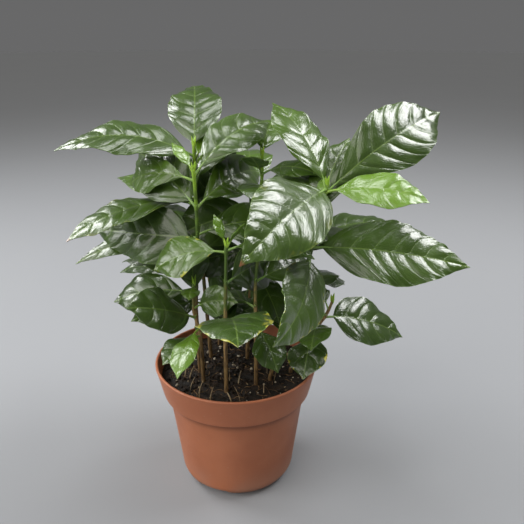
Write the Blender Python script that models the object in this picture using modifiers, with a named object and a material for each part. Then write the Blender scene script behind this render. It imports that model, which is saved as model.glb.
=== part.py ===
"""Potted coffee plant: eleven seedlings in potting soil, in a turned plastic pot.

Metres, +Z up. The origin is the middle of the pot's flat underside. The side that
faces -Y is the front. A compass angle is measured in degrees from +X towards +Y.
"""

import math
from collections import namedtuple

import bmesh
import bpy
from mathutils import Vector

# Pot
POT_HEIGHT = 0.0953
RIM_RADIUS = 0.060
LIP_THICKNESS = 0.0022
COLLAR_HEIGHT = 0.0232
COLLAR_FOOT_RADIUS = 0.0549
BODY_TOP_RADIUS = 0.0510
BODY_FOOT_RADIUS = 0.0431
BOTTOM_EDGE_ROUND = 0.0109
WALL = 0.0016
FOOT_HEIGHT = 0.0026
FOOT_WIDTH = 0.0022
FLOOR_THICKNESS = 0.0016
PAD_RADIUS = 0.008
INNER_ROUND = 0.008
TURN_STEPS = 36
EDGE_ROUND_STEPS = 3

# Drainage of the pot
SLOT_COUNT = 3
SLOT_COMPASS = -116
SLOT_WIDTH = 0.020
SLOT_HEIGHT = 0.0023
SLOT_REACH = 0.016
FLOOR_HOLE_COUNT = 6
FLOOR_HOLE_RADIUS = 0.0035
FLOOR_HOLE_CIRCLE = 0.019

# Soil
SOIL_GAP = 0.0003
SOIL_TOP = 0.085
SOIL_MOUND = 0.002
SOIL_LUMP = 0.0011
SOIL_RINGS = 6
STEM_HOLE_RADIUS = 0.0023
STEM_HOLE_FLOOR = 0.0742
STEM_HOLE_TOP = 0.092
STEM_HOLE_SIDES = 8

# Stems
STEM_FOOT = 0.0747
STEM_STRAIGHT_TOP = 0.089
STEM_FOOT_RADIUS = 0.0015
STEM_TIP_RADIUS = 0.0010
STEM_SPANS = 2

# Leaves
PETIOLE_LENGTH = 0.007
PETIOLE_HALF_WIDTH = 0.0009
TIP_HALF_WIDTH = 0.0003
RIB_THICKNESS = 0.0013
MARGIN_THICKNESS = 0.0007
FOLD = 12
CUP = 0.25
WAVE = 0.035
WAVE_COUNT = 2.5
WAVE_SIDE_SHIFT = 2.0
MIDRIB_STEPS = 24
LARGE_LEAF = 0.061
MEDIUM_LEAF = 0.035

Leaf = namedtuple("Leaf", "name height compass rise droop swing length width roll twist belly")
Leaf.__doc__ = """One leaf: the height of its node on the stem, the compass angle and the
rise above level at which it leaves it, how far it droops and swings sideways by its tip,
its length and width, its roll about the midrib, how far that roll changes by the tip,
and its belly, which is over 1 where it is widest near the tip and under 1 near the foot."""

Seedling = namedtuple("Seedling", "name stem leaves")
Seedling.__doc__ = """One plant that grew from one seed: points on its stem from the soil
up, and its leaves."""

SEEDLINGS = (
    Seedling(
        "seedling_left_tall",
        ((-0.027, -0.006, 0.084), (-0.028, -0.007, 0.140), (-0.025, -0.006, 0.194), (-0.026, -0.005, 0.238)),
        (
            Leaf("young", 0.235, 150, 65, 30, 0, 0.026, 0.012, -5, 0, 0.95),
            Leaf("bud", 0.237, -20, 70, 20, 0, 0.015, 0.007, 0, 0, 0.95),
            Leaf("crown_right", 0.234, 45, 45, 55, 10, 0.088, 0.034, 17, 15, 1.05),
            Leaf("crown_left", 0.231, 160, 20, 60, -25, 0.061, 0.027, -45, -20, 1.3),
            Leaf("arch_left", 0.213, 144, 42, 50, -35, 0.086, 0.042, -36, -20, 0.75),
            Leaf("shade_right", 0.212, 45, 35, 60, 25, 0.088, 0.033, 40, 15, 1.2),
            Leaf("broad_left", 0.192, 170, 0, 5, -28, 0.088, 0.042, -60, -15, 0.6),
            Leaf("inner_right", 0.194, 15, 20, 40, 0, 0.072, 0.034, 35, 0, 0.95),
            Leaf("low_back", 0.156, 130, 35, 65, 30, 0.076, 0.034, -5, 0, 0.95),
        ),
    ),
    Seedling(
        "seedling_left_back",
        ((-0.020, 0.016, 0.084), (-0.024, 0.018, 0.160), (-0.027, 0.020, 0.210), (-0.027, 0.020, 0.250)),
        (
            Leaf("upright", 0.246, 90, 53, 57, 5, 0.089, 0.040, -5, 0, 0.8),
            Leaf("young", 0.239, 50, 55, 50, 0, 0.036, 0.026, 10, 0, 0.75),
            Leaf("far_left", 0.242, 182, 33, 59, 4, 0.098, 0.043, -30, 20, 0.87),
            Leaf("upper_right", 0.222, 45, 65, 45, -20, 0.052, 0.030, 5, 0, 0.95),
            Leaf("reach_left", 0.210, 200, 12, 44, 8, 0.095, 0.031, -5, -13, 1.1),
            Leaf("shade_left", 0.209, 150, 43, 60, -5, 0.056, 0.028, -25, 0, 0.95),
            Leaf("back_right", 0.198, 65, 55, 25, 0, 0.080, 0.036, 45, 0, 0.95),
            Leaf("slim_left", 0.185, 177, 6, 36, 13, 0.093, 0.020, -38, 6, 0.95),
            Leaf("low_back", 0.181, 135, 35, 52, -16, 0.070, 0.034, 5, -4, 0.95),
            Leaf("low_left", 0.132, 200, 15, 40, 0, 0.058, 0.030, -35, 0, 0.95),
            Leaf("low_right", 0.133, -24, 10, 32, -14, 0.051, 0.025, 15, 11, 0.95),
        ),
    ),
    Seedling(
        "seedling_centre_back",
        ((0.008, 0.012, 0.084), (0.012, 0.018, 0.160), (0.019, 0.024, 0.210), (0.020, 0.026, 0.242)),
        (
            Leaf("crown_back", 0.240, 80, 45, 50, -10, 0.056, 0.026, 10, 0, 0.95),
            Leaf("crown_front", 0.228, -120, 55, 35, 15, 0.028, 0.020, 0, 0, 0.95),
            Leaf("upper_right", 0.228, -30, 35, 60, 0, 0.046, 0.022, 20, 0, 0.95),
            Leaf("right", 0.222, -5, 22, 30, 0, 0.062, 0.032, 15, 0, 0.95),
            Leaf("front", 0.218, -95, 30, 50, 0, 0.052, 0.030, 0, 0, 0.95),
            Leaf("steep_back", 0.184, 45, 55, 40, -25, 0.080, 0.038, -50, 0, 0.95),
            Leaf("low_back", 0.182, 55, 25, 40, 0, 0.084, 0.038, 0, 0, 0.95),
            Leaf("low_front", 0.160, -50, -30, 30, -10, 0.048, 0.030, 0, 0, 0.95),
            Leaf("left", 0.201, 197, 2, 23, 9, 0.064, 0.038, -58, -1, 0.95),
            Leaf("low_left", 0.172, 170, -6, 17, 6, 0.058, 0.031, -57, -24, 0.95),
            Leaf("low_right", 0.133, -13, 8, 29, 3, 0.054, 0.031, 40, 0, 0.95),
        ),
    ),
    Seedling(
        "seedling_right_tall",
        ((0.024, -0.020, 0.084), (0.036, -0.017, 0.135), (0.052, -0.012, 0.183), (0.062, -0.006, 0.228)),
        (
            Leaf("bud", 0.215, 80, 72, 35, 0, 0.020, 0.009, -10, 0, 0.95),
            Leaf("crown_left", 0.225, 127, 67, 50, 0, 0.078, 0.042, 12, -15, 0.93),
            Leaf("bright_right", 0.223, -20, 20, 42, 0, 0.069, 0.034, 27, 0, 1.0),
            Leaf("crown_right", 0.222, 20, 40, 35, 25, 0.119, 0.048, 60, -20, 1.2),
            Leaf("large_front", 0.225, -116, 6, 30, -12, 0.112, 0.050, -28, -30, 0.8),
            Leaf("back", 0.204, 62, 69, 44, -9, 0.068, 0.031, 7, 2, 1.0),
            Leaf("shade_right", 0.188, 28, 3, 20, 15, 0.070, 0.035, 14, -13, 0.9),
            Leaf("large_right", 0.186, 0, 0, 15, -5, 0.110, 0.051, 40, 4, 0.86),
            Leaf("hanging", 0.181, -95, -30, -25, -30, 0.090, 0.040, -30, -55, 0.65),
            Leaf("low_back", 0.150, 60, 20, 50, 0, 0.070, 0.034, 0, 0, 0.95),
        ),
    ),
    Seedling(
        "seedling_right_low",
        ((0.040, -0.008, 0.084), (0.050, -0.004, 0.108), (0.065, -0.001, 0.128), (0.070, 0.000, 0.140)),
        (
            Leaf("curled", 0.133, 112, 55, 60, 0, 0.026, 0.015, 0, 0, 0.95),
            Leaf("right", 0.128, 15, -5, 35, 0, 0.072, 0.040, 40, 0, 0.7),
            Leaf("front", 0.122, -105, 25, 35, 5, 0.052, 0.025, 15, 0, 0.93),
            Leaf("low_front", 0.116, -105, 0, 50, 0, 0.042, 0.030, 10, 0, 0.95),
            Leaf("back", 0.111, 130, 25, 15, 0, 0.042, 0.028, 0, 0, 0.95),
        ),
    ),
    Seedling(
        "seedling_left_low",
        ((-0.024, -0.018, 0.084), (-0.025, -0.017, 0.125), (-0.029, -0.015, 0.140), (-0.028, -0.015, 0.162)),
        (
            Leaf("upright", 0.151, 92, 81, -6, 1, 0.045, 0.024, 21, -8, 0.95),
            Leaf("young", 0.159, -95, 30, 60, 0, 0.022, 0.013, 0, 0, 0.95),
            Leaf("upper_left", 0.155, 171, 9, 39, -1, 0.060, 0.032, -36, -2, 1.1),
            Leaf("right", 0.143, -31, 41, 46, 10, 0.037, 0.022, 61, 10, 0.8),
            Leaf("lower_left", 0.136, 225, 34, 15, 5, 0.064, 0.034, -36, -23, 0.85),
            Leaf("bright_front", 0.128, -113, 2, 40, 15, 0.047, 0.020, 10, 5, 0.97),
            Leaf("shade_front", 0.123, -135, 5, 40, 0, 0.036, 0.024, -10, 0, 0.95),
        ),
    ),
    Seedling(
        "seedling_front",
        ((-0.007, -0.034, 0.084), (-0.007, -0.033, 0.130), (-0.006, -0.031, 0.165), (-0.005, -0.030, 0.194)),
        (
            Leaf("young_back", 0.192, 140, 75, 20, 0, 0.024, 0.009, 0, 0, 0.95),
            Leaf("young_front", 0.192, -30, 65, 20, 0, 0.024, 0.010, 0, 0, 0.95),
            Leaf("curled_left", 0.190, 170, 7, 50, -5, 0.054, 0.031, -28, -25, 1.15),
            Leaf("upper_right", 0.191, -5, 25, 25, -15, 0.060, 0.030, 0, 0, 0.95),
            Leaf("broad_right", 0.168, 52, 13, 38, 8, 0.076, 0.040, 80, 0, 0.87),
            Leaf("broad_front", 0.138, -78, 45, 52, -10, 0.086, 0.048, 10, -12, 1.05),
            Leaf("low_back", 0.134, 100, 30, 50, 0, 0.050, 0.026, 0, 0, 0.95),
        ),
    ),
    Seedling(
        "seedling_centre",
        ((0.014, -0.024, 0.084), (0.014, -0.020, 0.130), (0.014, -0.014, 0.160), (0.016, -0.010, 0.178)),
        (
            Leaf("young", 0.176, 60, 60, 20, -5, 0.022, 0.010, 10, 0, 0.95),
            Leaf("upper_right", 0.176, -40, 45, 60, 0, 0.050, 0.026, 0, 0, 0.95),
            Leaf("right", 0.162, 30, 20, 45, 20, 0.060, 0.032, 30, 0, 0.95),
            Leaf("low_front", 0.132, -60, -20, 40, 0, 0.038, 0.026, 0, 0, 0.95),
            Leaf("left", 0.144, 150, 25, 60, 0, 0.050, 0.028, 0, 0, 0.95),
        ),
    ),
    Seedling(
        "seedling_back_left",
        ((-0.014, 0.038, 0.084), (-0.022, 0.044, 0.150), (-0.030, 0.050, 0.200)),
        (
            Leaf("young", 0.198, 100, 68, 30, 0, 0.038, 0.017, 0, 0, 0.95),
            Leaf("upper_left", 0.195, 150, 38, 52, 0, 0.080, 0.036, -10, 0, 0.95),
            Leaf("upper_right", 0.193, 50, 35, 55, 0, 0.074, 0.034, 10, 0, 0.95),
            Leaf("back", 0.172, 120, 25, 50, 0, 0.084, 0.038, 0, 0, 0.95),
            Leaf("low_left", 0.150, 175, 20, 50, 0, 0.072, 0.034, -10, 0, 0.95),
            Leaf("low_back", 0.140, 80, 15, 50, 0, 0.062, 0.030, 0, 0, 0.95),
            Leaf("front", 0.153, -54, -9, 48, 17, 0.043, 0.026, 12, 15, 0.95),
            Leaf("low_front", 0.129, -54, -4, 44, 0, 0.047, 0.031, -6, 6, 0.95),
        ),
    ),
    Seedling(
        "seedling_back_centre",
        ((0.010, 0.042, 0.084), (0.012, 0.050, 0.150), (0.012, 0.054, 0.214)),
        (
            Leaf("young", 0.212, 105, 70, 20, 10, 0.026, 0.013, 35, 0, 0.95),
            Leaf("upper_back", 0.208, 90, 40, 60, 0, 0.086, 0.038, 0, 0, 0.95),
            Leaf("upper_right", 0.198, 35, 28, 50, 20, 0.072, 0.036, -10, 0, 0.95),
            Leaf("low_back", 0.160, 100, 20, 50, 0, 0.076, 0.034, 0, 0, 0.95),
            Leaf("low_front", 0.131, -114, 5, 52, 20, 0.039, 0.027, -5, -6, 0.95),
        ),
    ),
    Seedling(
        "seedling_back_right",
        ((0.036, 0.022, 0.084), (0.046, 0.032, 0.140), (0.054, 0.038, 0.190)),
        (
            Leaf("young", 0.188, 70, 65, 30, 0, 0.038, 0.016, 0, 0, 0.95),
            Leaf("upper_right", 0.171, 15, 29, 50, 5, 0.084, 0.038, 10, 0, 0.95),
            Leaf("upper_back", 0.172, 85, 35, 90, 0, 0.068, 0.036, -5, 0, 0.95),
            Leaf("back_right", 0.162, 45, 20, 45, 0, 0.084, 0.038, 0, 0, 0.95),
            Leaf("low_right", 0.140, 35, 10, 45, 0, 0.056, 0.032, 10, 0, 0.95),
            Leaf("low_back", 0.138, 85, 15, 45, 0, 0.060, 0.030, 0, 0, 0.95),
        ),
    ),
)


def clear_scene():
    """Remove every object that the open file holds."""
    for item in list(bpy.data.objects):
        bpy.data.objects.remove(item, do_unlink=True)


def new_collection(name):
    """Make a collection in the scene."""
    collection = bpy.data.collections.new(name)
    bpy.context.scene.collection.children.link(collection)
    return collection


def make_material(name, colour, roughness):
    """Make a plain Principled material."""
    material = bpy.data.materials.new(name)
    material.use_nodes = True
    shader = material.node_tree.nodes["Principled BSDF"]
    shader.inputs["Base Color"].default_value = (*colour, 1.0)
    shader.inputs["Roughness"].default_value = roughness
    shader.inputs["Metallic"].default_value = 0.0
    return material


def new_object(name, data, collection):
    """Put a mesh or a curve in a collection under its name."""
    item = bpy.data.objects.new(name, data)
    collection.objects.link(item)
    return item


def evaluated_mesh(item):
    """Mesh of an object after its modifiers or its bevel."""
    graph = bpy.context.evaluated_depsgraph_get()
    return bpy.data.meshes.new_from_object(item.evaluated_get(graph))


def close_seams(mesh, distance):
    """Merge the points of a mesh that stand closer than a distance."""
    shape = bmesh.new()
    shape.from_mesh(mesh)
    bmesh.ops.remove_doubles(shape, verts=shape.verts, dist=distance)
    shape.to_mesh(mesh)
    shape.free()


def remove_with_data(item):
    """Remove an object and leave nothing of it in the scene."""
    bpy.data.objects.remove(item, do_unlink=True)


def make_cutter(item):
    """Show an object as a wire guide that no render shows."""
    item.hide_render = True
    item.display_type = "WIRE"


def arc(centre, radius, start, end, steps):
    """Points on a quarter round, angles in degrees."""
    points = []
    for step in range(steps + 1):
        angle = math.radians(start + (end - start) * step / steps)
        points.append((centre[0] + radius * math.cos(angle), centre[1] + radius * math.sin(angle)))
    return points


def turned_object(name, profile, collection):
    """Turn a profile of (radius, height) points about the pot's axis."""
    mesh = bpy.data.meshes.new(name)
    shape = bmesh.new()
    vertices = [shape.verts.new((radius, 0.0, height)) for radius, height in profile]
    for first, second in zip(vertices, vertices[1:]):
        shape.edges.new((first, second))
    shape.to_mesh(mesh)
    shape.free()
    item = new_object(name, mesh, collection)
    screw = item.modifiers.new("turn", "SCREW")
    screw.angle = math.tau
    screw.steps = TURN_STEPS
    screw.render_steps = TURN_STEPS
    screw.use_merge_vertices = True
    screw.merge_threshold = 0.00001
    return item


def inner_profile(gap):
    """Inside of the pot from the middle of its floor to the lip, drawn in by a gap."""
    floor = FOOT_HEIGHT + FLOOR_THICKNESS + gap
    step = POT_HEIGHT - COLLAR_HEIGHT
    foot_radius = BODY_FOOT_RADIUS - WALL - gap
    round_radius = INNER_ROUND - gap
    centre = (foot_radius - round_radius, floor + round_radius)
    profile = [(0.0, floor), (FLOOR_HOLE_CIRCLE, floor)]
    profile += arc(centre, round_radius, -90, 0, EDGE_ROUND_STEPS)
    profile.append((BODY_TOP_RADIUS - WALL - gap, step - 0.0012 + gap))
    profile.append((COLLAR_FOOT_RADIUS - WALL - gap, step + WALL + gap))
    profile.append((RIM_RADIUS - LIP_THICKNESS - gap, POT_HEIGHT - LIP_THICKNESS / 2))
    return profile


def pot_profile():
    """Whole section of the pot: inside, lip, outside and underside."""
    step = POT_HEIGHT - COLLAR_HEIGHT
    lip_middle = RIM_RADIUS - LIP_THICKNESS / 2
    profile = inner_profile(0.0)
    profile += arc((lip_middle, POT_HEIGHT - LIP_THICKNESS / 2), LIP_THICKNESS / 2, 180, 0, 4)[1:]
    profile.append((COLLAR_FOOT_RADIUS, step + 0.0008))
    profile.append((COLLAR_FOOT_RADIUS - 0.0008, step))
    profile.append((BODY_TOP_RADIUS + 0.0006, step - 0.0002))
    profile.append((BODY_TOP_RADIUS, step - 0.0014))
    edge_centre = (BODY_FOOT_RADIUS - BOTTOM_EDGE_ROUND, BOTTOM_EDGE_ROUND)
    profile += arc(edge_centre, BOTTOM_EDGE_ROUND, 0, -90, EDGE_ROUND_STEPS + 1)
    profile.append((edge_centre[0] - FOOT_WIDTH, 0.0))
    profile.append((edge_centre[0] - FOOT_WIDTH - 0.0003, FOOT_HEIGHT))
    profile.append((PAD_RADIUS + 0.0004, FOOT_HEIGHT))
    profile.append((PAD_RADIUS, 0.0))
    profile.append((0.0, 0.0))
    return profile


def make_slot_cutter(number, collection):
    """Box that opens one drainage slot through the foot of the pot."""
    compass = math.radians(SLOT_COMPASS + 360 * number / SLOT_COUNT)
    reach = BODY_FOOT_RADIUS - BOTTOM_EDGE_ROUND + SLOT_REACH / 2 - 0.004
    bpy.ops.mesh.primitive_cube_add(size=1.0)
    cutter = bpy.context.object
    cutter.name = f"slot_cutter_{number + 1}"
    cutter.scale = (SLOT_REACH, SLOT_WIDTH, 2 * SLOT_HEIGHT)
    cutter.location = (reach * math.cos(compass), reach * math.sin(compass), 0.0)
    cutter.rotation_euler = (0.0, 0.0, compass)
    move_to_collection(cutter, collection)
    make_cutter(cutter)


def make_round_cutter(name, radius, sides, place, bottom, top, collection):
    """Upright cylinder that cuts a round hole."""
    bpy.ops.mesh.primitive_cylinder_add(vertices=sides, radius=radius, depth=top - bottom)
    cutter = bpy.context.object
    cutter.name = name
    cutter.location = (place[0], place[1], (top + bottom) / 2)
    move_to_collection(cutter, collection)
    make_cutter(cutter)


def move_to_collection(item, collection):
    """Take an object out of the collections it is in and put it in this one."""
    for old in list(item.users_collection):
        old.objects.unlink(item)
    collection.objects.link(item)


def cut_with(item, collection):
    """Cut an object with every cutter of a collection."""
    cut = item.modifiers.new("cut", "BOOLEAN")
    cut.operation = "DIFFERENCE"
    cut.operand_type = "COLLECTION"
    cut.collection = collection
    cut.solver = "EXACT"


def make_pot(parts, material):
    """Pot with its drainage slots and floor holes."""
    cutters = new_collection("pot_cutters")
    for number in range(SLOT_COUNT):
        make_slot_cutter(number, cutters)
    for number in range(FLOOR_HOLE_COUNT):
        angle = math.tau * (number + 0.5) / FLOOR_HOLE_COUNT
        place = (FLOOR_HOLE_CIRCLE * math.cos(angle), FLOOR_HOLE_CIRCLE * math.sin(angle))
        name = f"floor_hole_cutter_{number + 1}"
        make_round_cutter(name, FLOOR_HOLE_RADIUS, 10, place, -0.001, 2 * FLOOR_THICKNESS + FOOT_HEIGHT, cutters)
    pot = turned_object("pot", pot_profile(), parts)
    pot.data.materials.append(material)
    cut_with(pot, cutters)
    return pot


def soil_height(place):
    """Height of the soil's lumpy top over the level of its edge."""
    x, y = place[0] * 1000, place[1] * 1000
    reach = math.hypot(x, y) / (1000 * COLLAR_FOOT_RADIUS)
    lumps = math.sin(0.31 * x + 0.8) * math.cos(0.27 * y - 0.4) + 0.6 * math.sin(0.62 * y + 0.35 * x)
    return (SOIL_MOUND + SOIL_LUMP * lumps) * max(0.0, 1.0 - reach * reach)


def make_soil(parts, material):
    """Soil that fills the pot, with a lumpy top and a hole for each stem."""
    wall = [point for point in inner_profile(SOIL_GAP) if point[1] < SOIL_TOP]
    lower, upper = inner_profile(SOIL_GAP)[-2:]
    share = (SOIL_TOP - lower[1]) / (upper[1] - lower[1])
    edge_radius = lower[0] + (upper[0] - lower[0]) * share
    top = [(edge_radius * ring / SOIL_RINGS, SOIL_TOP) for ring in range(SOIL_RINGS + 1)]
    draft = turned_object("soil_draft", top + wall[::-1], parts)
    mesh = evaluated_mesh(draft)
    close_seams(mesh, 0.000001)
    remove_with_data(draft)
    for vertex in mesh.vertices:
        if vertex.co.z > SOIL_TOP - 0.0001:
            vertex.co.z += soil_height(vertex.co)
    soil = new_object("soil", mesh, parts)
    soil.data.materials.clear()
    soil.data.materials.append(material)
    cutters = new_collection("soil_cutters")
    for seedling in SEEDLINGS:
        name = f"{seedling.name}_hole_cutter"
        foot = seedling.stem[0]
        make_round_cutter(
            name, STEM_HOLE_RADIUS, STEM_HOLE_SIDES, foot, STEM_HOLE_FLOOR, STEM_HOLE_TOP, cutters
        )
    cut_with(soil, cutters)
    return soil


def smooth_path(points, spans):
    """Catmull-Rom curve through the points, with this many spans from each to the next."""
    points = [Vector(point) for point in points]
    ends = [2 * points[0] - points[1]] + points + [2 * points[-1] - points[-2]]
    path = []
    for before, start, end, after in zip(ends, ends[1:], ends[2:], ends[3:]):
        for step in range(spans):
            t = step / spans
            path.append(
                0.5
                * (
                    2 * start
                    + (end - before) * t
                    + (2 * before - 5 * start + 4 * end - after) * t**2
                    + (3 * start - before - 3 * end + after) * t**3
                )
            )
    path.append(points[-1])
    return path


def stem_path(seedling):
    """Stem from its foot in the soil, upright through its hole and on to its tip."""
    x, y = seedling.stem[0][:2]
    points = [(x, y, STEM_STRAIGHT_TOP), *seedling.stem[1:]]
    return [Vector((x, y, STEM_FOOT)), *smooth_path(points, STEM_SPANS)]


def point_at_height(path, height):
    """Point of a path at a height."""
    for start, end in zip(path, path[1:]):
        if start.z <= height <= end.z:
            return start.lerp(end, (height - start.z) / (end.z - start.z))
    return path[-1].copy()


def leaf_axes(leaf, along):
    """Forward, right and upper directions of a leaf at a share of its length."""
    compass = math.radians(leaf.compass + leaf.swing * along)
    slope = math.radians(leaf.rise - leaf.droop * along)
    forward = Vector(
        (math.cos(slope) * math.cos(compass), math.cos(slope) * math.sin(compass), math.sin(slope))
    )
    upper = Vector(
        (-math.sin(slope) * math.cos(compass), -math.sin(slope) * math.sin(compass), math.cos(slope))
    )
    right = forward.cross(upper)
    roll = math.radians(leaf.roll + leaf.twist * along)
    rolled_upper = math.cos(roll) * upper + math.sin(roll) * right
    rolled_right = math.cos(roll) * right - math.sin(roll) * upper
    return forward, rolled_right, rolled_upper


def midrib_point(leaf, base, along):
    """Point of the midrib, summed from short straight steps."""
    point = base.copy()
    step = leaf.length * along / MIDRIB_STEPS
    for number in range(MIDRIB_STEPS):
        middle = along * (number + 0.5) / MIDRIB_STEPS
        point += leaf_axes(leaf, middle)[0] * step
    return point


def half_width(leaf, blade):
    """Half the width of a leaf at a share of its blade, from its foot to its drawn-out tip."""
    if blade <= 0.0:
        return PETIOLE_HALF_WIDTH
    outline = max(0.0, math.sin(math.pi * blade**leaf.belly)) ** 0.9
    towards_tip = min(1.0, max(0.0, (blade - 0.78) / 0.22))
    outline *= 1.0 - 0.4 * towards_tip**2 * (3 - 2 * towards_tip)
    least = PETIOLE_HALF_WIDTH + (TIP_HALF_WIDTH - PETIOLE_HALF_WIDTH) * blade
    return max(least, leaf.width / 2 * outline)


def edge_wave(leaf, blade, side):
    """How far the waved edge stands over or under the blade."""
    shift = math.radians(3 * leaf.compass) + (WAVE_SIDE_SHIFT if side > 0 else 0.0)
    fade = min(1.0, 4 * max(0.0, blade)) * min(1.0, 4 * (1.0 - blade))
    return WAVE * leaf.width * fade * math.sin(math.tau * WAVE_COUNT * blade + shift)


def leaf_point(leaf, base, along, across):
    """Point of a leaf's middle surface; across runs from -1 to 1."""
    petiole = PETIOLE_LENGTH / leaf.length
    blade = (along - petiole) / (1.0 - petiole)
    half = half_width(leaf, blade)
    right, upper = leaf_axes(leaf, along)[1:]
    fold = math.radians(FOLD)
    sideways = across * half * math.cos(fold)
    height = (abs(across) * math.sin(fold) - CUP * across**2) * half
    if blade > 0.0:
        height += edge_wave(leaf, blade, across) * across**2
    return midrib_point(leaf, base, along) + right * sideways + upper * height


def leaf_divisions(leaf):
    """Rows along and columns across a leaf's grid."""
    if leaf.length >= LARGE_LEAF:
        return 8, 4
    if leaf.length >= MEDIUM_LEAF:
        return 6, 2
    return 5, 2


def make_leaf(seedling, leaf, base, collection):
    """Petiole and blade of one leaf, thick along the midrib and thin at its waved edge."""
    rows, columns = leaf_divisions(leaf)
    name = f"{seedling.name}_{leaf.name}"
    shape = bmesh.new()
    bmesh.ops.create_grid(shape, x_segments=rows, y_segments=columns, size=1.0)
    rib_weight = shape.verts.layers.deform.verify()
    petiole = PETIOLE_LENGTH / leaf.length
    for vertex in shape.verts:
        row = round((vertex.co.x + 1.0) / 2 * rows)
        across = -vertex.co.y
        blade = (row - 1) / (rows - 1)
        along = petiole + (1.0 - petiole) * blade if row else 0.0
        vertex[rib_weight][0] = 1.0 if row < 2 else max(0.0, 1.0 - abs(across) * 2)
        vertex.co = leaf_point(leaf, base, along, across)
    bmesh.ops.triangulate(shape, faces=shape.faces)
    mesh = bpy.data.meshes.new(name)
    shape.to_mesh(mesh)
    shape.free()
    item = new_object(name, mesh, collection)
    item.vertex_groups.new(name="rib")
    wall = item.modifiers.new("thickness", "SOLIDIFY")
    wall.thickness = RIB_THICKNESS
    wall.offset = 0.0
    wall.vertex_group = "rib"
    wall.thickness_vertex_group = MARGIN_THICKNESS / RIB_THICKNESS


def make_stem(seedling, path, parts):
    """Round stem that thins towards its tip."""
    curve = bpy.data.curves.new(seedling.name, "CURVE")
    curve.dimensions = "3D"
    curve.bevel_depth = STEM_FOOT_RADIUS
    curve.bevel_resolution = 2
    curve.use_fill_caps = True
    spline = curve.splines.new("POLY")
    spline.points.add(len(path) - 1)
    for number, (place, point) in enumerate(zip(path, spline.points)):
        point.co = (*place, 1.0)
        share = number / (len(path) - 1)
        point.radius = 1.0 + (STEM_TIP_RADIUS / STEM_FOOT_RADIUS - 1.0) * share
    draft = new_object(f"{seedling.name}_stem_curve", curve, parts)
    mesh = evaluated_mesh(draft)
    close_seams(mesh, 0.000001)
    remove_with_data(draft)
    return new_object(seedling.name, mesh, parts)


def make_seedling(seedling, parts, material):
    """One seedling: its stem with every leaf joined to it in one solid."""
    path = stem_path(seedling)
    stem = make_stem(seedling, path, parts)
    leaves = new_collection(f"{seedling.name}_leaves")
    for leaf in seedling.leaves:
        make_leaf(seedling, leaf, point_at_height(path, leaf.height), leaves)
    join = stem.modifiers.new("leaves", "BOOLEAN")
    join.operation = "UNION"
    join.operand_type = "COLLECTION"
    join.collection = leaves
    join.solver = "MANIFOLD"
    mesh = evaluated_mesh(stem)
    stem.modifiers.clear()
    stem.data = mesh
    for item in list(leaves.objects):
        remove_with_data(item)
    bpy.data.collections.remove(leaves)
    stem.data.materials.clear()
    stem.data.materials.append(material)
    return stem


def main():
    """Build the plant in its pot."""
    clear_scene()
    parts = new_collection("potted_coffee_plant")
    terracotta = make_material("terracotta_plastic", (0.30, 0.105, 0.055), 0.45)
    soil_mix = make_material("potting_soil", (0.016, 0.012, 0.009), 0.95)
    leaf_green = make_material("coffee_leaf", (0.045, 0.115, 0.020), 0.25)
    make_pot(parts, terracotta)
    make_soil(parts, soil_mix)
    for seedling in SEEDLINGS:
        make_seedling(seedling, parts, leaf_green)


main()
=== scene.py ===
"""Looks of a young coffee plant in a terracotta-coloured plastic nursery pot.

Metres, +Z up. The middle of the pot's underside is the origin and -Y is the front. The
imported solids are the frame: each seedling, the soil and the pot get finer pieces that
stand for them, and every piece rides on the one body of the row.
"""

from __future__ import annotations

import logging
import math
import random
from dataclasses import dataclass, field
from enum import Enum

import bmesh
import bpy
from mathutils import Matrix, Vector, noise


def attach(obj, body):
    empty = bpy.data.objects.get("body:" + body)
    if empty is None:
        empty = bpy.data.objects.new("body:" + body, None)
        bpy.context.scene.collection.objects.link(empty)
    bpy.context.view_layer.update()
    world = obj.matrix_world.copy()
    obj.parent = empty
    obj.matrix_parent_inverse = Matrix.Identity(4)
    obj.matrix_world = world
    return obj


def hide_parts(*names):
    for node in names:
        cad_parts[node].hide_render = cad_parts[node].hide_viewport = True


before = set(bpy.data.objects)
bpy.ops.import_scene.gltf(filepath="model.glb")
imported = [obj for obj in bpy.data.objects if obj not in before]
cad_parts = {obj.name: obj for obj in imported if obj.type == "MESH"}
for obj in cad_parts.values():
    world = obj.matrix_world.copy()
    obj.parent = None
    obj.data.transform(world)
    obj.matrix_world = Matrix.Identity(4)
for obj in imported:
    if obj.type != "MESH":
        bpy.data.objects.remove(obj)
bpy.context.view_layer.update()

LOG = logging.getLogger("coffee_plant")
BODY = "root"
MM = 0.001
MIDRIB_STEPS = 60

Pair = tuple[float, float]
Triple = tuple[float, float, float]
Profile = list[Pair]
Shape = bmesh.types.BMesh
Socket = bpy.types.NodeSocket
Material = bpy.types.Material

RISE: Pair = (0.0, 1.0)
FALL: Pair = (1.0, 0.0)


class Age(Enum):
    """How young a leaf looks: the share of fresh yellow-green in its colour."""

    OLD = 0.0
    MATURE = 0.05
    FRESH = 0.20
    BRIGHT = 0.70
    YOUNG = 1.0


class Mark(Enum):
    """A blemish or an edge that sets one leaf apart: share of yellow, share of brown."""

    CLEAN = (0.0, 0.0)
    PALE_RIM = (0.35, 0.10)
    YELLOW_RIM = (1.0, 0.0)
    BROWN_TIP = (0.1, 1.0)
    SPECKS = (0.55, 0.15)


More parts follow.
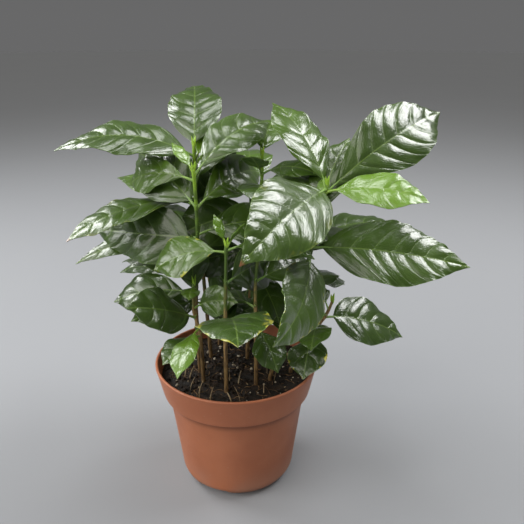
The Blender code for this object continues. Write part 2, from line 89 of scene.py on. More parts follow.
@dataclass(frozen=True)
class Leaf:
    """One leaf by its place on the stem, its pose and its size, in metres and degrees.

    Attributes:
        name: Its name on its seedling.
        height: Height of its foot over the ground.
        compass: Direction in which it leaves the stem, from +X towards +Y.
        rise: Slope of its foot.
        droop: How much lower its tip points than its foot.
        swing: How far its tip points to one side of its foot.
        length: Length from the stem to the tip.
        width: Width of its blade.
        roll: Turn of its foot about its own length.
        twist: How much further its tip is turned.
        belly: Where it is widest, nearer the stem under one and nearer the tip over one.
        age: How young it looks.
        mark: Its blemish.
    """

    name: str
    height: float
    compass: float
    rise: float
    droop: float
    swing: float
    length: float
    width: float
    roll: float
    twist: float
    belly: float
    age: Age = Age.MATURE
    mark: Mark = Mark.CLEAN

    def axes(self, along: float) -> tuple[Vector, Vector, Vector]:
        """Directions of the leaf at a share of its length.

        Args:
            along: Share of the length, 0 at the stem and 1 at the tip.

        Returns:
            The forward, right and upper directions.
        """
        compass = math.radians(self.compass + self.swing * along)
        slope = math.radians(self.rise - self.droop * along)
        level = Vector((math.cos(compass), math.sin(compass), 0.0))
        forward = level * math.cos(slope) + Vector((0.0, 0.0, math.sin(slope)))
        upper = Vector((0.0, 0.0, math.cos(slope))) - level * math.sin(slope)
        right = forward.cross(upper)
        roll = math.radians(self.roll + self.twist * along)
        rolled_upper = math.cos(roll) * upper + math.sin(roll) * right
        rolled_right = math.cos(roll) * right - math.sin(roll) * upper
        return forward, rolled_right, rolled_upper

    def midrib(self, base: Vector, shares: list[float]) -> list[Vector]:
        """Points of the midrib.

        Args:
            base: Where the leaf leaves the axis of the stem.
            shares: Rising shares of the length.

        Returns:
            One point for each share.
        """
        points = []
        point = base.copy()
        reached = 0.0
        for share in shares:
            steps = max(1, math.ceil((share - reached) * MIDRIB_STEPS))
            for step in range(steps):
                middle = reached + (share - reached) * (step + 0.5) / steps
                point = point + self.axes(middle)[0] * (self.length * (share - reached) / steps)
            reached = share
            points.append(point.copy())
        return points


@dataclass(frozen=True)
class Seedling:
    """One plant from one seed: points on its stem from the soil up, and its leaves."""

    name: str
    stem: tuple[Triple, ...]
    leaves: tuple[Leaf, ...]


SEEDLINGS = (
    Seedling(
        "seedling_left_tall",
        ((-0.027, -0.006, 0.084), (-0.028, -0.007, 0.140), (-0.025, -0.006, 0.194), (-0.026, -0.005, 0.238)),
        (
            Leaf("young", 0.235, 150, 65, 30, 0, 0.026, 0.012, -5, 0, 0.95, Age.YOUNG),
            Leaf("bud", 0.237, -20, 70, 20, 0, 0.015, 0.007, 0, 0, 0.95, Age.YOUNG),
            Leaf("crown_right", 0.234, 45, 45, 55, 10, 0.088, 0.034, 17, 15, 1.05),
            Leaf("crown_left", 0.231, 160, 20, 60, -25, 0.061, 0.027, -45, -20, 1.3, Age.FRESH),
            Leaf("arch_left", 0.213, 144, 42, 50, -35, 0.086, 0.042, -36, -20, 0.75, Age.OLD),
            Leaf("shade_right", 0.212, 45, 35, 60, 25, 0.088, 0.033, 40, 15, 1.2, Age.FRESH),
            Leaf("broad_left", 0.192, 170, 0, 5, -28, 0.088, 0.042, -60, -15, 0.6, Age.OLD),
            Leaf("inner_right", 0.194, 15, 20, 40, 0, 0.072, 0.034, 35, 0, 0.95),
            Leaf("low_back", 0.156, 130, 35, 65, 30, 0.076, 0.034, -5, 0, 0.95),
        ),
    ),
    Seedling(
        "seedling_left_back",
        ((-0.020, 0.016, 0.084), (-0.024, 0.018, 0.160), (-0.027, 0.020, 0.210), (-0.027, 0.020, 0.250)),
        (
            Leaf("upright", 0.246, 90, 53, 57, 5, 0.089, 0.040, -5, 0, 0.8),
            Leaf("young", 0.239, 50, 55, 50, 0, 0.036, 0.026, 10, 0, 0.75, Age.YOUNG),
            Leaf("far_left", 0.242, 182, 33, 59, 4, 0.098, 0.043, -30, 20, 0.87),
            Leaf("upper_right", 0.222, 45, 65, 45, -20, 0.052, 0.030, 5, 0, 0.95),
            Leaf(
                "reach_left", 0.210, 200, 12, 44, 8, 0.095, 0.031, -5, -13, 1.1,
                Age.MATURE, Mark.BROWN_TIP,
            ),
            Leaf("shade_left", 0.209, 150, 43, 60, -5, 0.056, 0.028, -25, 0, 0.95),
            Leaf("back_right", 0.198, 65, 55, 25, 0, 0.080, 0.036, 45, 0, 0.95, Age.OLD),
            Leaf("slim_left", 0.185, 177, 6, 36, 13, 0.093, 0.020, -38, 6, 0.95),
            Leaf("low_back", 0.181, 135, 35, 52, -16, 0.070, 0.034, 5, -4, 0.95),
            Leaf("low_left", 0.132, 200, 15, 40, 0, 0.058, 0.030, -35, 0, 0.95, Age.OLD),
            Leaf("low_right", 0.133, -24, 10, 32, -14, 0.051, 0.025, 15, 11, 0.95, Age.OLD),
        ),
    ),
    Seedling(
        "seedling_centre_back",
        ((0.008, 0.012, 0.084), (0.012, 0.018, 0.160), (0.019, 0.024, 0.210), (0.020, 0.026, 0.242)),
        (
            Leaf("crown_back", 0.240, 80, 45, 50, -10, 0.056, 0.026, 10, 0, 0.95, Age.FRESH),
            Leaf("crown_front", 0.228, -120, 55, 35, 15, 0.028, 0.020, 0, 0, 0.95, Age.FRESH),
            Leaf("upper_right", 0.228, -30, 35, 60, 0, 0.046, 0.022, 20, 0, 0.95),
            Leaf("right", 0.222, -5, 22, 30, 0, 0.062, 0.032, 15, 0, 0.95),
            Leaf("front", 0.218, -95, 30, 50, 0, 0.052, 0.030, 0, 0, 0.95),
            Leaf("steep_back", 0.184, 45, 55, 40, -25, 0.080, 0.038, -50, 0, 0.95),
            Leaf("low_back", 0.182, 55, 25, 40, 0, 0.084, 0.038, 0, 0, 0.95),
            Leaf("low_front", 0.160, -50, -30, 30, -10, 0.048, 0.030, 0, 0, 0.95, Age.OLD),
            Leaf("left", 0.201, 197, 2, 23, 9, 0.064, 0.038, -58, -1, 0.95, Age.OLD),
            Leaf("low_left", 0.172, 170, -6, 17, 6, 0.058, 0.031, -57, -24, 0.95, Age.OLD),
            Leaf("low_right", 0.133, -13, 8, 29, 3, 0.054, 0.031, 40, 0, 0.95, Age.OLD),
        ),
    ),
    Seedling(
        "seedling_right_tall",
        ((0.024, -0.020, 0.084), (0.036, -0.017, 0.135), (0.052, -0.012, 0.183), (0.062, -0.006, 0.228)),
        (
            Leaf("bud", 0.215, 80, 72, 35, 0, 0.020, 0.009, -10, 0, 0.95, Age.BRIGHT),
            Leaf("crown_left", 0.225, 127, 67, 50, 0, 0.078, 0.042, 12, -15, 0.93, Age.FRESH),
            Leaf("bright_right", 0.223, -20, 20, 42, 0, 0.069, 0.034, 27, 0, 1.0, Age.BRIGHT),
            Leaf("crown_right", 0.222, 20, 40, 35, 25, 0.119, 0.048, 60, -20, 1.2),
            Leaf(
                "large_front", 0.225, -116, 6, 30, -12, 0.112, 0.050, -28, -30, 0.8,
                Age.MATURE, Mark.BROWN_TIP,
            ),
            Leaf("back", 0.204, 62, 69, 44, -9, 0.068, 0.031, 7, 2, 1.0),
            Leaf("shade_right", 0.188, 28, 3, 20, 15, 0.070, 0.035, 14, -13, 0.9, Age.OLD),
            Leaf("large_right", 0.186, 0, 0, 15, -5, 0.110, 0.051, 40, 4, 0.86),
            Leaf(
                "hanging", 0.181, -95, -30, -25, -30, 0.090, 0.040, -30, -55, 0.65,
                Age.MATURE, Mark.PALE_RIM,
            ),
            Leaf("low_back", 0.150, 60, 20, 50, 0, 0.070, 0.034, 0, 0, 0.95),
        ),
    ),
    Seedling(
        "seedling_right_low",
        ((0.040, -0.008, 0.084), (0.050, -0.004, 0.108), (0.065, -0.001, 0.128), (0.070, 0.000, 0.140)),
        (
            Leaf("curled", 0.133, 112, 55, 60, 0, 0.026, 0.015, 0, 0, 0.95, Age.FRESH),
            Leaf("right", 0.128, 15, -5, 35, 0, 0.072, 0.040, 40, 0, 0.7),
            Leaf("front", 0.122, -105, 25, 35, 5, 0.052, 0.025, 15, 0, 0.93),
            Leaf("low_front", 0.116, -105, 0, 50, 0, 0.042, 0.030, 10, 0, 0.95, Age.OLD, Mark.YELLOW_RIM),
            Leaf("back", 0.111, 130, 25, 15, 0, 0.042, 0.028, 0, 0, 0.95),
        ),
    ),
    Seedling(
        "seedling_left_low",
        ((-0.024, -0.018, 0.084), (-0.025, -0.017, 0.125), (-0.029, -0.015, 0.140), (-0.028, -0.015, 0.162)),
        (
            Leaf("upright", 0.151, 92, 81, -6, 1, 0.045, 0.024, 21, -8, 0.95),
            Leaf("young", 0.159, -95, 30, 60, 0, 0.022, 0.013, 0, 0, 0.95, Age.FRESH),
            Leaf("upper_left", 0.155, 171, 9, 39, -1, 0.060, 0.032, -36, -2, 1.1, Age.OLD),
            Leaf("right", 0.143, -31, 41, 46, 10, 0.037, 0.022, 61, 10, 0.8, Age.FRESH),
            Leaf("lower_left", 0.136, 225, 34, 15, 5, 0.064, 0.034, -36, -23, 0.85, Age.OLD),
            Leaf("bright_front", 0.128, -113, 2, 40, 15, 0.047, 0.020, 10, 5, 0.97, Age.BRIGHT),
            Leaf("shade_front", 0.123, -135, 5, 40, 0, 0.036, 0.024, -10, 0, 0.95, Age.OLD),
        ),
    ),
    Seedling(
        "seedling_front",
        ((-0.007, -0.034, 0.084), (-0.007, -0.033, 0.130), (-0.006, -0.031, 0.165), (-0.005, -0.030, 0.194)),
        (
            Leaf("young_back", 0.192, 140, 75, 20, 0, 0.024, 0.009, 0, 0, 0.95, Age.BRIGHT),
            Leaf("young_front", 0.192, -30, 65, 20, 0, 0.024, 0.010, 0, 0, 0.95, Age.BRIGHT),
            Leaf("curled_left", 0.190, 170, 7, 50, -5, 0.054, 0.031, -28, -25, 1.15, Age.FRESH, Mark.SPECKS),
            Leaf("upper_right", 0.191, -5, 25, 25, -15, 0.060, 0.030, 0, 0, 0.95),
            Leaf("broad_right", 0.168, 52, 13, 38, 8, 0.076, 0.040, 80, 0, 0.87, Age.OLD),
            Leaf("broad_front", 0.138, -78, 45, 52, -10, 0.086, 0.048, 10, -12, 1.05, Age.OLD, Mark.SPECKS),
            Leaf("low_back", 0.134, 100, 30, 50, 0, 0.050, 0.026, 0, 0, 0.95),
        ),
    ),
    Seedling(
        "seedling_centre",
        ((0.014, -0.024, 0.084), (0.014, -0.020, 0.130), (0.014, -0.014, 0.160), (0.016, -0.010, 0.178)),
        (
            Leaf("young", 0.176, 60, 60, 20, -5, 0.022, 0.010, 10, 0, 0.95, Age.BRIGHT),
            Leaf("upper_right", 0.176, -40, 45, 60, 0, 0.050, 0.026, 0, 0, 0.95),
            Leaf("right", 0.162, 30, 20, 45, 20, 0.060, 0.032, 30, 0, 0.95, Age.OLD),
            Leaf("low_front", 0.132, -60, -20, 40, 0, 0.038, 0.026, 0, 0, 0.95, Age.OLD),
            Leaf("left", 0.144, 150, 25, 60, 0, 0.050, 0.028, 0, 0, 0.95),
        ),
    ),
    Seedling(
        "seedling_back_left",
        ((-0.014, 0.038, 0.084), (-0.022, 0.044, 0.150), (-0.030, 0.050, 0.200)),
        (
            Leaf("young", 0.198, 100, 68, 30, 0, 0.038, 0.017, 0, 0, 0.95, Age.BRIGHT),
            Leaf("upper_left", 0.195, 150, 38, 52, 0, 0.080, 0.036, -10, 0, 0.95, Age.FRESH),
            Leaf("upper_right", 0.193, 50, 35, 55, 0, 0.074, 0.034, 10, 0, 0.95),
            Leaf("back", 0.172, 120, 25, 50, 0, 0.084, 0.038, 0, 0, 0.95),
            Leaf("low_left", 0.150, 175, 20, 50, 0, 0.072, 0.034, -10, 0, 0.95, Age.OLD),
            Leaf("low_back", 0.140, 80, 15, 50, 0, 0.062, 0.030, 0, 0, 0.95, Age.OLD, Mark.PALE_RIM),
            Leaf("front", 0.153, -54, -9, 48, 17, 0.043, 0.026, 12, 15, 0.95, Age.OLD),
            Leaf("low_front", 0.129, -54, -4, 44, 0, 0.047, 0.031, -6, 6, 0.95, Age.OLD),
        ),
    ),
    Seedling(
        "seedling_back_centre",
        ((0.010, 0.042, 0.084), (0.012, 0.050, 0.150), (0.012, 0.054, 0.214)),
        (
            Leaf("young", 0.212, 105, 70, 20, 10, 0.026, 0.013, 35, 0, 0.95, Age.YOUNG),
            Leaf("upper_back", 0.208, 90, 40, 60, 0, 0.086, 0.038, 0, 0, 0.95, Age.FRESH),
            Leaf("upper_right", 0.198, 35, 28, 50, 20, 0.072, 0.036, -10, 0, 0.95),
            Leaf("low_back", 0.160, 100, 20, 50, 0, 0.076, 0.034, 0, 0, 0.95, Age.OLD),
            Leaf("low_front", 0.131, -114, 5, 52, 20, 0.039, 0.027, -5, -6, 0.95, Age.OLD),
        ),
    ),
    Seedling(
        "seedling_back_right",
        ((0.036, 0.022, 0.084), (0.046, 0.032, 0.140), (0.054, 0.038, 0.190)),
        (
            Leaf("young", 0.188, 70, 65, 30, 0, 0.038, 0.016, 0, 0, 0.95, Age.BRIGHT),
            Leaf("upper_right", 0.171, 15, 29, 50, 5, 0.084, 0.038, 10, 0, 0.95),
            Leaf("upper_back", 0.172, 85, 35, 90, 0, 0.068, 0.036, -5, 0, 0.95, Age.FRESH),
            Leaf("back_right", 0.162, 45, 20, 45, 0, 0.084, 0.038, 0, 0, 0.95),
            Leaf("low_right", 0.140, 35, 10, 45, 0, 0.056, 0.032, 10, 0, 0.95, Age.OLD),
            Leaf("low_back", 0.138, 85, 15, 45, 0, 0.060, 0.030, 0, 0, 0.95, Age.OLD, Mark.BROWN_TIP),
        ),
    ),
)


class Recipe:
    """A material's node tree, with one short call for each node that it needs."""

    def __init__(self, name: str) -> None:
        """Start a material with an empty Principled surface.

        Args:
            name: The material's name.
        """
        self.material = bpy.data.materials.new(name)
        self.material.use_nodes = True
        self.tree = self.material.node_tree
        self.shader = self.tree.nodes["Principled BSDF"]

    def node(self, kind: str, **settings: object) -> bpy.types.Node:
        """Add a node.

        Args:
            kind: The node's type name.
            settings: Properties to set on it.

        Returns:
            The new node.
        """
        new = self.tree.nodes.new(kind)
        for name, value in settings.items():
            setattr(new, name, value)
        return new

    def feed(self, socket: Socket, source: object) -> None:
        """Give a socket either a link or a constant.

        Args:
            socket: The socket that gets it.
            source: Another socket, a number or a colour.
        """
        if isinstance(source, bpy.types.NodeSocket):
            self.tree.links.new(source, socket)
        elif isinstance(source, tuple) and socket.type == "RGBA":
            socket.default_value = (*source, 1.0)
        else:
            socket.default_value = source

    def attribute(self, name: str) -> bpy.types.Node:
        """Read an attribute that the mesh holds."""
        return self.node("ShaderNodeAttribute", attribute_type="GEOMETRY", attribute_name=name)

    def parts_of(self, vector: Socket) -> list[Socket]:
        """Split a vector.

        Args:
            vector: The vector.

        Returns:
            Its three numbers.
        """
        split = self.node("ShaderNodeSeparateXYZ")
        self.feed(split.inputs[0], vector)
        return list(split.outputs)

    def point(self, *numbers: object) -> Socket:
        """Join three numbers into a vector.

        Args:
            numbers: Its x, y and z, each a link or a constant.

        Returns:
            The vector.
        """
        join = self.node("ShaderNodeCombineXYZ")
        for socket, number in zip(join.inputs, numbers):
            self.feed(socket, number)
        return join.outputs[0]

    def place(self, scale: Triple = (1.0, 1.0, 1.0)) -> Socket:
        """Object coordinates, stretched by a scale.

        Args:
            scale: Factor along each axis.

        Returns:
            The coordinates.
        """
        where = self.node("ShaderNodeTexCoord")
        mapping = self.node("ShaderNodeMapping")
        self.feed(mapping.inputs["Vector"], where.outputs["Object"])
        mapping.inputs["Scale"].default_value = scale
        return mapping.outputs["Vector"]

    def mathematics(self, operation: str, first: object, second: object) -> Socket:
        """Work out one number from two.

        Args:
            operation: Name of the operation.
            first: First number, a link or a constant.
            second: Second number, a link or a constant.

        Returns:
            The result.
        """
        step = self.node("ShaderNodeMath", operation=operation)
        self.feed(step.inputs[0], first)
        self.feed(step.inputs[1], second)
        return step.outputs[0]

    def times(self, first: object, second: object) -> Socket:
        """Product of two numbers."""
        return self.mathematics("MULTIPLY", first, second)

    def plus(self, first: object, second: object) -> Socket:
        """Sum of two numbers."""
        return self.mathematics("ADD", first, second)

    def minus(self, first: object, second: object) -> Socket:
        """First number less the second."""
        return self.mathematics("SUBTRACT", first, second)

    def ease(self, value: Socket, over: Pair, gives: Pair = RISE) -> Socket:
        """Turn a number smoothly into another one between two limits.

        Args:
            value: The number.
            over: The two limits.
            gives: What comes out at each of them, and beyond them.

        Returns:
            The new number.
        """
        ramp = self.node("ShaderNodeMapRange", interpolation_type="SMOOTHSTEP", clamp=True)
        self.feed(ramp.inputs["Value"], value)
        for name, number in zip(("From Min", "From Max", "To Min", "To Max"), over + gives):
            ramp.inputs[name].default_value = number
        return ramp.outputs["Result"]

    def grain(self, vector: Socket, scale: float, detail: float = 3.0, rough: float = 0.55) -> Socket:
        """Cloudy noise.

        Args:
            vector: Where it is read.
            scale: Clouds in one unit of that place.
            detail: How many finer layers it has.
            rough: How strong the finer layers are.

        Returns:
            A number about 0.5.
        """
        cloud = self.node("ShaderNodeTexNoise", noise_dimensions="3D")
        self.feed(cloud.inputs["Vector"], vector)
        for name, number in (("Scale", scale), ("Detail", detail), ("Roughness", rough)):
            cloud.inputs[name].default_value = number
        return cloud.outputs["Fac"]

    def cells(self, vector: Socket, scale: float) -> Socket:
        """A pattern of cells.

        Args:
            vector: Where it is read.
            scale: Cells in one unit of that place.

        Returns:
            The distance to the nearest border between two cells.
        """
        cell = self.node("ShaderNodeTexVoronoi", feature="DISTANCE_TO_EDGE")
        self.feed(cell.inputs["Vector"], vector)
        cell.inputs["Scale"].default_value = scale
        return cell.outputs["Distance"]

    def blend(self, share: object, first: object, second: object, kind: str = "MIX") -> Socket:
        """Mix two colours.

        Args:
            share: Share of the second colour.
            first: First colour, a link or a constant.
            second: Second colour, a link or a constant.
            kind: How the second colour acts on the first.

        Returns:
            The mixed colour.
        """
        mix = self.node("ShaderNodeMix", data_type="RGBA", blend_type=kind, clamp_factor=True)
        self.feed(mix.inputs[0], share)
        self.feed(mix.inputs[6], first)
        self.feed(mix.inputs[7], second)
        return mix.outputs[2]

    def tint(self, colour: object, share: object, by: Triple) -> Socket:
        """Multiply a colour by another, as far as a share says."""
        return self.blend(share, colour, by, "MULTIPLY")

    def relief(self, height: Socket, depth: float, strength: float) -> None:
        """Raise the surface and its clear coat by a height pattern.

        Args:
            height: The pattern.
            depth: Metres that a height of one stands for.
            strength: Share of the pattern that acts.
        """
        bump = self.node("ShaderNodeBump")
        bump.inputs["Distance"].default_value = depth
        bump.inputs["Strength"].default_value = strength
        self.feed(bump.inputs["Height"], height)
        for name in ("Normal", "Coat Normal"):
            self.feed(self.shader.inputs[name], bump.outputs["Normal"])

    def surface(self, colour: object, roughness: object, **constants: float) -> Material:
        """Finish the material.

        Args:
            colour: Base colour, a link or a constant.
            roughness: Roughness, a link or a constant.
            constants: Other Principled sockets, by name with underscores.

        Returns:
            The material.
        """
        self.feed(self.shader.inputs["Base Color"], colour)
        self.feed(self.shader.inputs["Roughness"], roughness)
        for name, value in constants.items():
            self.shader.inputs[name.replace("_", " ")].default_value = value
        return self.material


class LeafPattern:
    """What a blade's mesh says at each point, as sockets of one recipe."""

    def __init__(self, recipe: Recipe) -> None:
        """Read the attributes of the blade.

        Args:
            recipe: The material's recipe.
        """
        kind = recipe.attribute("leaf_kind")
        mapped = recipe.attribute("leaf_map")
        self.phase, self.from_rib, self.along = recipe.parts_of(mapped.outputs["Vector"])
        self.youth, self.tone, self.yellowing = recipe.parts_of(kind.outputs["Vector"])
        self.browning = kind.outputs["Alpha"]
        self.to_vein = recipe.mathematics("PINGPONG", self.phase, 0.5)
        self.place = recipe.place()


@dataclass(frozen=True)
class LeafFinish:
    """Upper side of a coffee leaf: waxy deep green, paler along its sunken veins."""

    deep: Triple = (0.018, 0.039, 0.005)
    middle: Triple = (0.048, 0.094, 0.011)
    fresh: Triple = (0.140, 0.275, 0.014)
    vein: Triple = (0.150, 0.235, 0.045)
    rim: Triple = (0.170, 0.270, 0.060)
    yellow: Triple = (0.560, 0.520, 0.050)
    brown: Triple = (0.170, 0.075, 0.025)
    roughness: float = 0.33
    vein_edge: Pair = (0.012, 0.050)
    valley_edge: Pair = (0.0, 0.20)
    rib_edge: Pair = (0.2, 0.7)
    net_edge: Pair = (0.0, 0.16)
    net_stretch: float = 10.0
    net_scale: float = 0.42
    streak_stretch: Pair = (9.0, 0.25)
    leaf_shift: float = 50.0
    tone_share: float = 0.55
    valley_share: float = 0.15
    net_share: float = 0.05
    vein_shares: Pair = (0.26, 0.04)
    rib_share: float = 0.5
    rim_shares: Pair = (0.25, 0.6)
    rim_edge: Pair = (0.96, 0.99)
    yellow_edge: Pair = (0.98, 1.14)
    brown_edge: Pair = (0.955, 0.985)
    fine_height: float = 0.35
    streak_height: float = 0.42
    vein_depth: float = 0.4
    valley_depth: float = 0.5
    net_depth: float = 0.15
    gloss_spread: Pair = (-0.05, 0.09)

    def make(self) -> Material:
        """Build the material from the leaf's own map of veins.

        Returns:
            The material.
        """
        recipe = Recipe("coffee_leaf_upper")
        leaf = LeafPattern(recipe)
        across = recipe.attribute("leaf_across").outputs["Fac"]
        cloud = recipe.grain(leaf.place, scale=60.0, detail=4.0)
        vein = recipe.ease(leaf.to_vein, self.vein_edge, FALL)
        valley = recipe.ease(leaf.to_vein, self.valley_edge, FALL)
        shift = recipe.times(leaf.tone, self.leaf_shift)
        net_place = recipe.point(recipe.times(leaf.phase, self.net_stretch), leaf.from_rib, shift)
        net = recipe.ease(recipe.cells(net_place, self.net_scale), self.net_edge, FALL)
        clouded = recipe.ease(cloud, (0.3, 0.7), (0.0, 0.5))
        shade = recipe.plus(recipe.times(leaf.tone, self.tone_share), clouded)
        colour = recipe.blend(shade, self.deep, self.middle)
        colour = recipe.blend(recipe.times(valley, self.valley_share), colour, self.middle)
        colour = recipe.blend(leaf.youth, colour, self.fresh)
        colour = recipe.blend(recipe.times(net, self.net_share), colour, self.vein)
        vein_share = recipe.times(vein, recipe.ease(across, (0.3, 0.9), self.vein_shares))
        colour = recipe.blend(vein_share, colour, self.vein)
        rib = recipe.ease(leaf.from_rib, self.rib_edge, FALL)
        colour = recipe.blend(recipe.times(rib, self.rib_share), colour, self.vein)
        colour = self.edge_colour(recipe, leaf, across, colour)
        sunk = ((vein, self.vein_depth), (valley, self.valley_depth), (net, self.net_depth))
        self.emboss(recipe, leaf, shift, sunk)
        smooth, rough = (self.roughness + change for change in self.gloss_spread)
        gloss = recipe.ease(cloud, (0.3, 0.75), (smooth, rough))
        return recipe.surface(
            colour, gloss, IOR=1.5, Specular_IOR_Level=0.32, Coat_Weight=0.85, Coat_Roughness=0.13
        )

    def edge_colour(self, recipe: Recipe, leaf: LeafPattern, across: Socket, colour: Socket) -> Socket:
        """Add the pale rim, yellowed patches and a brown tip.

        Args:
            recipe: The material's recipe.
            leaf: What the blade's mesh says.
            across: Share of the half width.
            colour: The colour so far.

        Returns:
            The colour with them.
        """
        least, more = self.rim_shares
        rim_share = recipe.plus(recipe.times(leaf.yellowing, more), least)
        rim_share = recipe.times(rim_share, recipe.ease(across, self.rim_edge))
        colour = recipe.blend(rim_share, colour, self.rim)
        patches = recipe.grain(leaf.place, scale=130.0, detail=2.0)
        patchy = recipe.plus(across, recipe.ease(patches, (0.3, 0.7), (-0.35, 0.25)))
        yellow_share = recipe.times(recipe.ease(patchy, self.yellow_edge), leaf.yellowing)
        colour = recipe.blend(yellow_share, colour, self.yellow)
        brown_share = recipe.times(recipe.ease(leaf.along, self.brown_edge), leaf.browning)
        return recipe.blend(brown_share, colour, self.brown)

    def emboss(
        self, recipe: Recipe, leaf: LeafPattern, shift: Socket, sunk: tuple[tuple[Socket, float], ...]
    ) -> None:
        """Raise fine grain and streaks, and sink the veins.

        Args:
            recipe: The material's recipe.
            leaf: What the blade's mesh says.
            shift: Number that sets this leaf's pattern apart from others.
            sunk: Each pattern that is sunk, with its depth.
        """
        along = recipe.times(leaf.phase, self.streak_stretch[0])
        sideways = recipe.times(leaf.from_rib, self.streak_stretch[1])
        streak = recipe.grain(recipe.point(along, sideways, shift), scale=1.0, detail=2.0, rough=0.6)
        fine = recipe.grain(leaf.place, scale=560.0, detail=2.0, rough=0.6)
        height = recipe.plus(recipe.times(fine, self.fine_height), recipe.times(streak, self.streak_height))
        for pattern, depth in sunk:
            height = recipe.minus(height, recipe.times(pattern, depth))
        recipe.relief(height, depth=0.0004, strength=0.7)


@dataclass(frozen=True)
class UndersideFinish:
    """Underside of a coffee leaf: paler, dull, with the same veins standing out."""

    pale: Triple = (0.110, 0.200, 0.050)
    fresh: Triple = (0.220, 0.360, 0.050)
    vein: Triple = (0.240, 0.340, 0.120)
    dulled: Triple = (0.6, 0.68, 0.55)

    def make(self) -> Material:
        """Build the material from the leaf's own map of veins.

        Returns:
            The material.
        """
        recipe = Recipe("coffee_leaf_underside")
        leaf = LeafPattern(recipe)
        vein = recipe.ease(leaf.to_vein, (0.015, 0.07), FALL)
        rib = recipe.ease(leaf.from_rib, (0.4, 1.3), FALL)
        cloud = recipe.grain(leaf.place, scale=90.0)
        colour = recipe.blend(leaf.youth, self.pale, self.fresh)
        dark = recipe.times(recipe.minus(1.0, leaf.tone), recipe.ease(cloud, (0.35, 0.65)))
        colour = recipe.tint(colour, dark, self.dulled)
        veined = recipe.mathematics("MAXIMUM", vein, rib)
        colour = recipe.blend(recipe.times(veined, 0.6), colour, self.vein)
        recipe.relief(vein, depth=0.0003, strength=0.6)
        return recipe.surface(colour, 0.5, Specular_IOR_Level=0.4)


@dataclass(frozen=True)
class RibFinish:
    """Petioles, midribs, buds and stipules: smooth pale green."""

    mature: Triple = (0.200, 0.330, 0.075)
    fresh: Triple = (0.330, 0.520, 0.045)
    dulled: Triple = (0.7, 0.78, 0.6)

    def make(self) -> Material:
        """Build the material from the leaf's age.

        Returns:
            The material.
        """
        recipe = Recipe("coffee_midrib")
        youth = recipe.parts_of(recipe.attribute("leaf_kind").outputs["Vector"])[0]
        cloud = recipe.grain(recipe.place(), scale=150.0)
        colour = recipe.blend(youth, self.mature, self.fresh)
        colour = recipe.tint(colour, recipe.ease(cloud, (0.4, 0.7)), self.dulled)
        grooves = recipe.grain(recipe.place((1.0, 1.0, 0.4)), scale=900.0, detail=2.0)
        recipe.relief(grooves, depth=0.0001, strength=0.5)
        return recipe.surface(colour, 0.38, Specular_IOR_Level=0.6, Coat_Weight=0.15, Coat_Roughness=0.25)


@dataclass(frozen=True)
class StemFinish:
    """Stem: tan corky bark at its foot, dull green higher up, bright green at its tip."""

    bark: Triple = (0.300, 0.190, 0.070)
    bark_dark: Triple = (0.085, 0.048, 0.022)
    damp: Triple = (0.55, 0.5, 0.48)
    green: Triple = (0.070, 0.125, 0.020)
    tip: Triple = (0.230, 0.400, 0.030)

    def make(self) -> Material:
        """Build the material from the height that the stem's mesh states.

        Returns:
            The material.
        """
        recipe = Recipe("coffee_stem")
        height = recipe.attribute("stem_height").outputs["Fac"]
        streak = recipe.grain(recipe.place((1.0, 1.0, 0.12)), scale=1400.0)
        cloud = recipe.grain(recipe.place(), scale=160.0)
        bark = recipe.blend(recipe.ease(streak, (0.4, 0.68)), self.bark, self.bark_dark)
        bark = recipe.tint(bark, recipe.ease(height, (0.0, 0.12), FALL), self.damp)
        wavy = recipe.plus(height, recipe.ease(cloud, (0.3, 0.7), (-0.08, 0.08)))
        colour = recipe.blend(recipe.ease(wavy, (0.28, 0.55)), bark, self.green)
        colour = recipe.blend(recipe.ease(wavy, (0.72, 0.98)), colour, self.tip)
        recipe.relief(streak, depth=0.0003, strength=0.7)
        roughness = recipe.ease(height, (0.3, 0.7), (0.7, 0.4))
        return recipe.surface(colour, roughness, Specular_IOR_Level=0.45)


@dataclass(frozen=True)
class SoilFinish:
    """Potting soil: nearly black, damp, with browner crumbs."""

    dark: Triple = (0.010, 0.007, 0.005)
    brown: Triple = (0.050, 0.030, 0.018)
    name: str = "potting_soil"

    def make(self) -> Material:
        """Build the material from coarse and fine noise.

        Returns:
            The material.
        """
        recipe = Recipe(self.name)
        place = recipe.place()
        coarse = recipe.grain(place, scale=190.0, detail=5.0, rough=0.65)
        fine = recipe.grain(place, scale=900.0, detail=4.0, rough=0.7)
        share = recipe.times(recipe.ease(coarse, (0.42, 0.68)), recipe.ease(fine, (0.35, 0.65), (0.3, 1.0)))
        colour = recipe.blend(share, self.dark, self.brown)
        recipe.relief(recipe.plus(coarse, recipe.times(fine, 0.4)), depth=0.0012, strength=0.9)
        roughness = recipe.ease(coarse, (0.35, 0.7), (0.62, 0.95))
        return recipe.surface(colour, roughness, Specular_IOR_Level=0.35)


@dataclass(frozen=True)
class GritFinish:
    """Pale mineral bits, bark chips and husks that lie on the soil."""

    light: Triple
    dark: Triple
    name: str

    def make(self) -> Material:
        """Build the material from two sizes of noise.

        Returns:
            The material.
        """
        recipe = Recipe(self.name)
        place = recipe.place()
        coarse = recipe.grain(place, scale=260.0)
        fine = recipe.grain(place, scale=1600.0, rough=0.7)
        colour = recipe.blend(recipe.ease(coarse, (0.38, 0.64)), self.light, self.dark)
        recipe.relief(fine, depth=0.0004, strength=0.8)
        return recipe.surface(colour, 0.85, Specular_IOR_Level=0.3)


